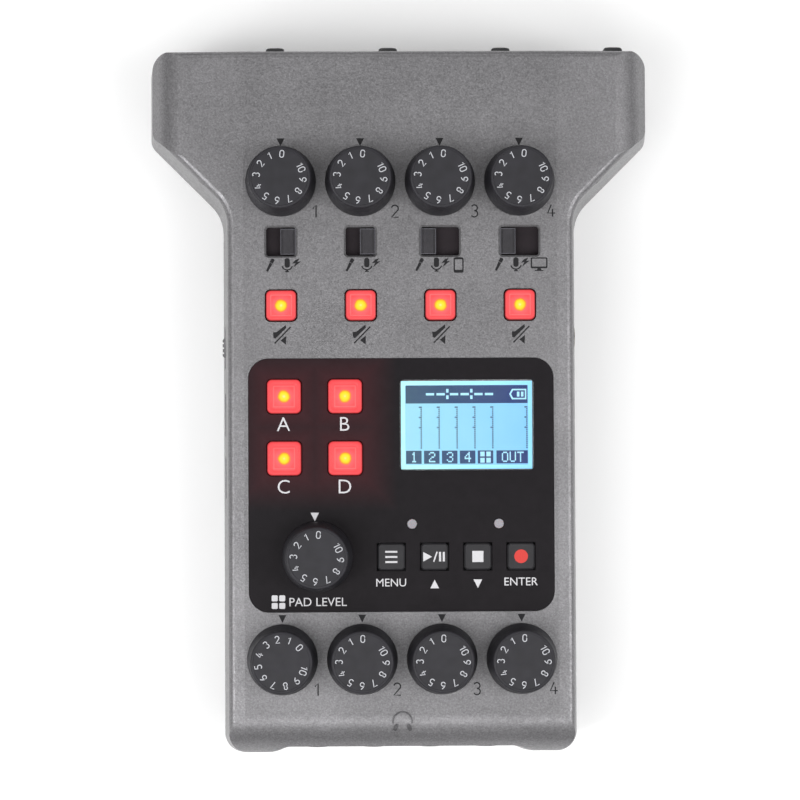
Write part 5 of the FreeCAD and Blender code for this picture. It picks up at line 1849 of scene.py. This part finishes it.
@dataclass
class Sockets:
    """The microphone sockets at the rear and the headphone sockets at the front."""

    jack_z: float = 23.5
    jack_pitch: float = 12.5
    front: float = -77.05
    wall_inside: float = -74.45
    jack_back: float = -63.0
    jack_wide: float = 6.4
    jack_high: float = 4.9
    bore: float = 1.8
    rim: float = 2.45
    collar: float = 3.0
    sides: int = 40
    right: float = 39.0
    phone_y: float = 14.0
    latch_pitch: float = 25.0
    latch_shift: float = 10.0
    latch_z: float = 30.15
    latch_sections: tuple[Point3, ...] = (
        (58.2, 2.6, 0.2),
        (73.5, 2.6, 0.2),
        (73.5, 4.2, 0.3),
        (77.3, 4.2, 0.3),
        (77.9, 4.0, 0.6),
        (78.15, 3.5, 0.8),
        (78.25, 2.7, 0.8),
    )

    def build(self) -> None:
        """Dresses the sockets, rebuilds latches and jacks, and rims the bores."""
        for number in CHANNELS:
            dress(f"xlr_socket_{number}", SOCKET)
            self.latch(number)
            self.jack(number)
        dress("phone_jack", SOCKET)
        dress("xlr_contacts", GOLD)
        for number in CHANNELS:
            x = self.across(self.jack_pitch, number)
            name = f"headphone_rim_{number}"
            self.plated_rim(name, lambda a, b, h, x=x: (x + a, self.front - h * 0.5, self.jack_z + b))
        self.plated_rim("phone_rim", lambda a, b, h: (self.right + h, self.phone_y + a, self.jack_z + b))

    def across(self, pitch: float, number: int) -> float:
        """Returns a channel's place in a row that has the given pitch and is even about the middle."""
        return pitch * (number - (CHANNELS[0] + CHANNELS[-1]) / 2)

    def plated_rim(self, name: str, place: Placer) -> None:
        """Sets a plated rim round a bore.

        Args:
            name: The piece's name.
            place: Puts a point across, a point up and a height out of the case into space.
        """
        profile = [
            (self.bore, -0.8),
            (self.bore, 0.06),
            (self.bore + 0.08, 0.16),
            (self.rim - 0.1, 0.16),
            (self.rim, 0.06),
            (self.rim, -0.02),
            (self.bore + 0.2, -0.02),
        ]
        points, faces = turned_ring(profile, self.sides, place)
        piece(name, points, faces, "case", "port_steel", NICKEL, soft=SOFT_EDGE)

    def latch(self, number: int) -> None:
        """Builds a latch whose tip is rounded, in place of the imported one.

        Args:
            number: The channel's number.
        """
        node = f"xlr_latch_{number}"
        middle = self.across(self.latch_pitch, number) + self.latch_shift
        rings = []
        for y, side, corner in self.latch_sections:
            rings.append([(x, y, z) for x, z in rounded(middle, self.latch_z, side, side, corner, 4)])
        points, faces = lofted(rings)
        made = piece(f"{node}_round", points, faces, node, "socket_black", LATCH, soft=SOFT_EDGE)
        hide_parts(f"xlr_latch_{number}")

    def jack(self, number: int) -> None:
        """Builds a jack with a round collar that ends inside the case wall.

        Args:
            number: The channel's number.
        """
        x = self.across(self.jack_pitch, number)
        node = f"headphone_jack_{number}"
        profile = [
            (self.collar, self.front),
            (self.collar, self.wall_inside),
            (self.bore, self.wall_inside),
            (self.bore, self.front),
        ]
        points, faces = turned_ring(profile, self.sides, lambda a, b, h: (x + a, h, self.jack_z + b))
        collar = piece(f"{node}_collar", points, faces, "case", "socket_black", SOCKET, soft=SOFT_EDGE)
        outline = rounded(x, self.jack_z, self.jack_wide, self.jack_high, 0.2, 3)
        ends = (self.wall_inside, self.jack_back)
        points, faces = lofted([[(a, y, z) for a, z in outline] for y in ends])
        shell = piece(f"{node}_shell", points, faces, "case", "socket_black", SOCKET, soft=SOFT_EDGE)
        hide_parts(node)
        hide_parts(node)


@dataclass
class Inside:
    """What is inside the case and shows only through openings."""

    finishes: dict[str, Finish] = field(
        default_factory=lambda: {
            "main_board": BOARD,
            "xlr_board": BOARD,
            "potentiometers": STEEL,
            "slide_switch_bodies": DARK_BODY,
            "tact_switches": DARK_BODY,
            "button_leds": LAMP,
            "battery_cells": CELL,
            "battery_contacts": STEEL,
            "usb_ports": STEEL,
            "card_socket": STEEL,
            "case_screws": STEEL,
            "indicator_lenses": INDICATOR,
            "rubber_feet": RUBBER,
        }
    )

    def build(self) -> None:
        """Dresses every inner node."""
        for number in CHANNELS:
            dress(f"input_switch_{number}", SLIDER)
        for node, finish in self.finishes.items():
            dress(node, finish)


@dataclass
class Underside:
    """The arrow that is moulded into the battery cover."""

    y: float = -38.0
    face: float = 1.0
    wide: float = 6.0
    high: float = 4.0
    rise: float = 0.25

    def build(self) -> None:
        """Raises the arrow from the cover's lower face."""
        sign = Print()
        sign.triangle(0.0, self.y, self.wide, -self.high)
        ground = under(self.face)
        node = "battery_cover"
        sign.raised(f"{node}_arrow", node, "case_grey", CASE, ground, rise=self.rise, sink=0.1)


@dataclass
class Studio:
    """The pale floor, soft lamps, sky and camera, in metres and degrees.

    The lens and the sensor are in millimetres. A lamp has a name, a place, a size and a power.
    """

    lens: float = 132.27
    place: Point3 = (-0.01016, -0.01288, 0.68234)
    turn: Point3 = (1.141, -0.876, -0.278)
    sensor: float = 36.0
    sky: float = 0.30
    reach: float = 2.5
    lamps: tuple[tuple[str, Point3, Point2, float], ...] = (
        ("left_lamp", (-0.52, -0.20, 0.72), (0.28, 0.9), 4.8),
        ("right_lamp", (0.56, -0.08, 0.68), (0.26, 0.9), 4.0),
        ("rear_lamp", (-0.15, 0.75, 0.65), (0.9, 0.35), 1.2),
        ("front_lamp", (-0.02, -0.50, 0.88), (0.9, 0.36), 3.3),
    )

    def build(self) -> None:
        """Sets up everything around the object."""
        self.floor()
        self.light()
        self.camera()

    def floor(self) -> None:
        """Lays the pale floor."""
        mesh = bpy.data.meshes.new("studio_floor")
        edge = self.reach
        corners = [(-edge, -edge, 0), (edge, -edge, 0), (edge, edge, 0), (-edge, edge, 0)]
        mesh.from_pydata(corners, [], [(0, 1, 2, 3)])
        floor = bpy.data.objects.new("studio_floor", mesh)
        bpy.context.scene.collection.objects.link(floor)
        mesh.materials.append(FLOOR.material())
        floor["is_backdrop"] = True

    def lamp(self, name: str, place: Point3, size: Point2, power: float) -> None:
        """Hangs a soft rectangular lamp that faces the object.

        Args:
            name: The lamp's name.
            place: Its place in metres.
            size: Width and height in metres.
            power: Its power in watts.
        """
        data = bpy.data.lights.new(name, "AREA")
        data.shape = "RECTANGLE"
        data.size, data.size_y = size
        data.energy = power
        lamp = bpy.data.objects.new(name, data)
        bpy.context.scene.collection.objects.link(lamp)
        lamp.location = place
        lamp.rotation_euler = (-Vector(place)).to_track_quat("-Z", "Y").to_euler()

    def light(self) -> None:
        """Lights the object softly from both sides and from above."""
        for lamp in self.lamps:
            self.lamp(*lamp)
        world = bpy.data.worlds.new("studio_sky")
        world.use_nodes = True
        background = world.node_tree.nodes["Background"]
        background.inputs["Color"].default_value = (1.0, 1.0, 1.0, 1.0)
        background.inputs["Strength"].default_value = self.sky
        bpy.context.scene.world = world
        bpy.context.scene.view_settings.view_transform = "Standard"

    def camera(self) -> None:
        """Puts the camera where the photograph was taken."""
        data = bpy.data.cameras.new("camera")
        data.sensor_width = self.sensor
        data.lens = self.lens
        data.clip_start = 0.01
        data.clip_end = 20.0
        camera = bpy.data.objects.new("camera", data)
        bpy.context.scene.collection.objects.link(camera)
        camera.location = self.place
        camera.rotation_euler = tuple(math.radians(angle) for angle in self.turn)
        bpy.context.scene.camera = camera


def controls() -> list[Dial | LitButton | FlatKey]:
    """Lists every knob, lit button and key.

    Returns:
        The controls with their places.
    """
    parts: list[Dial | LitButton | FlatKey] = []
    for number, x in zip(CHANNELS, COLUMNS):
        parts.append(Dial(f"gain_knob_{number}", x, GAIN_Y, 6.0))
        parts.append(Dial(f"phones_knob_{number}", x, PHONES_Y, 50.0 if number == 1 else 1.0))
        parts.append(LitButton(f"mute_button_{number}", x, MUTE_Y, 6.65, 8.0))
    parts.append(Dial("pad_level_knob", *LEVEL_KNOB, 4.0))
    for letter, x, y in PADS:
        parts.append(LitButton(f"pad_button_{letter}", x, y, 7.5, 8.7))
    for index, sign in enumerate(KeySign):
        parts.append(FlatKey(f"{sign.value}_button", FIRST_KEY_X + KEY_PITCH * index, sign))
    return parts


def corners() -> list[list[float]]:
    """Returns the whole object's lowest and highest corners as plain lists."""
    low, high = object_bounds()
    return [list(low), list(high)]


def main() -> None:
    """Builds every sub-assembly in order."""
    logging.basicConfig(level=logging.INFO, format="%(name)s %(message)s")
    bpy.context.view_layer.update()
    Studio().build()
    CaseShells().build()
    Openings().build()
    ChannelPrints().build()
    ControlPanel().build()
    Display().build()
    for part in controls():
        part.build()
    Sockets().build()
    Inside().build()
    Underside().build()


if __name__ == "__main__":
    main()
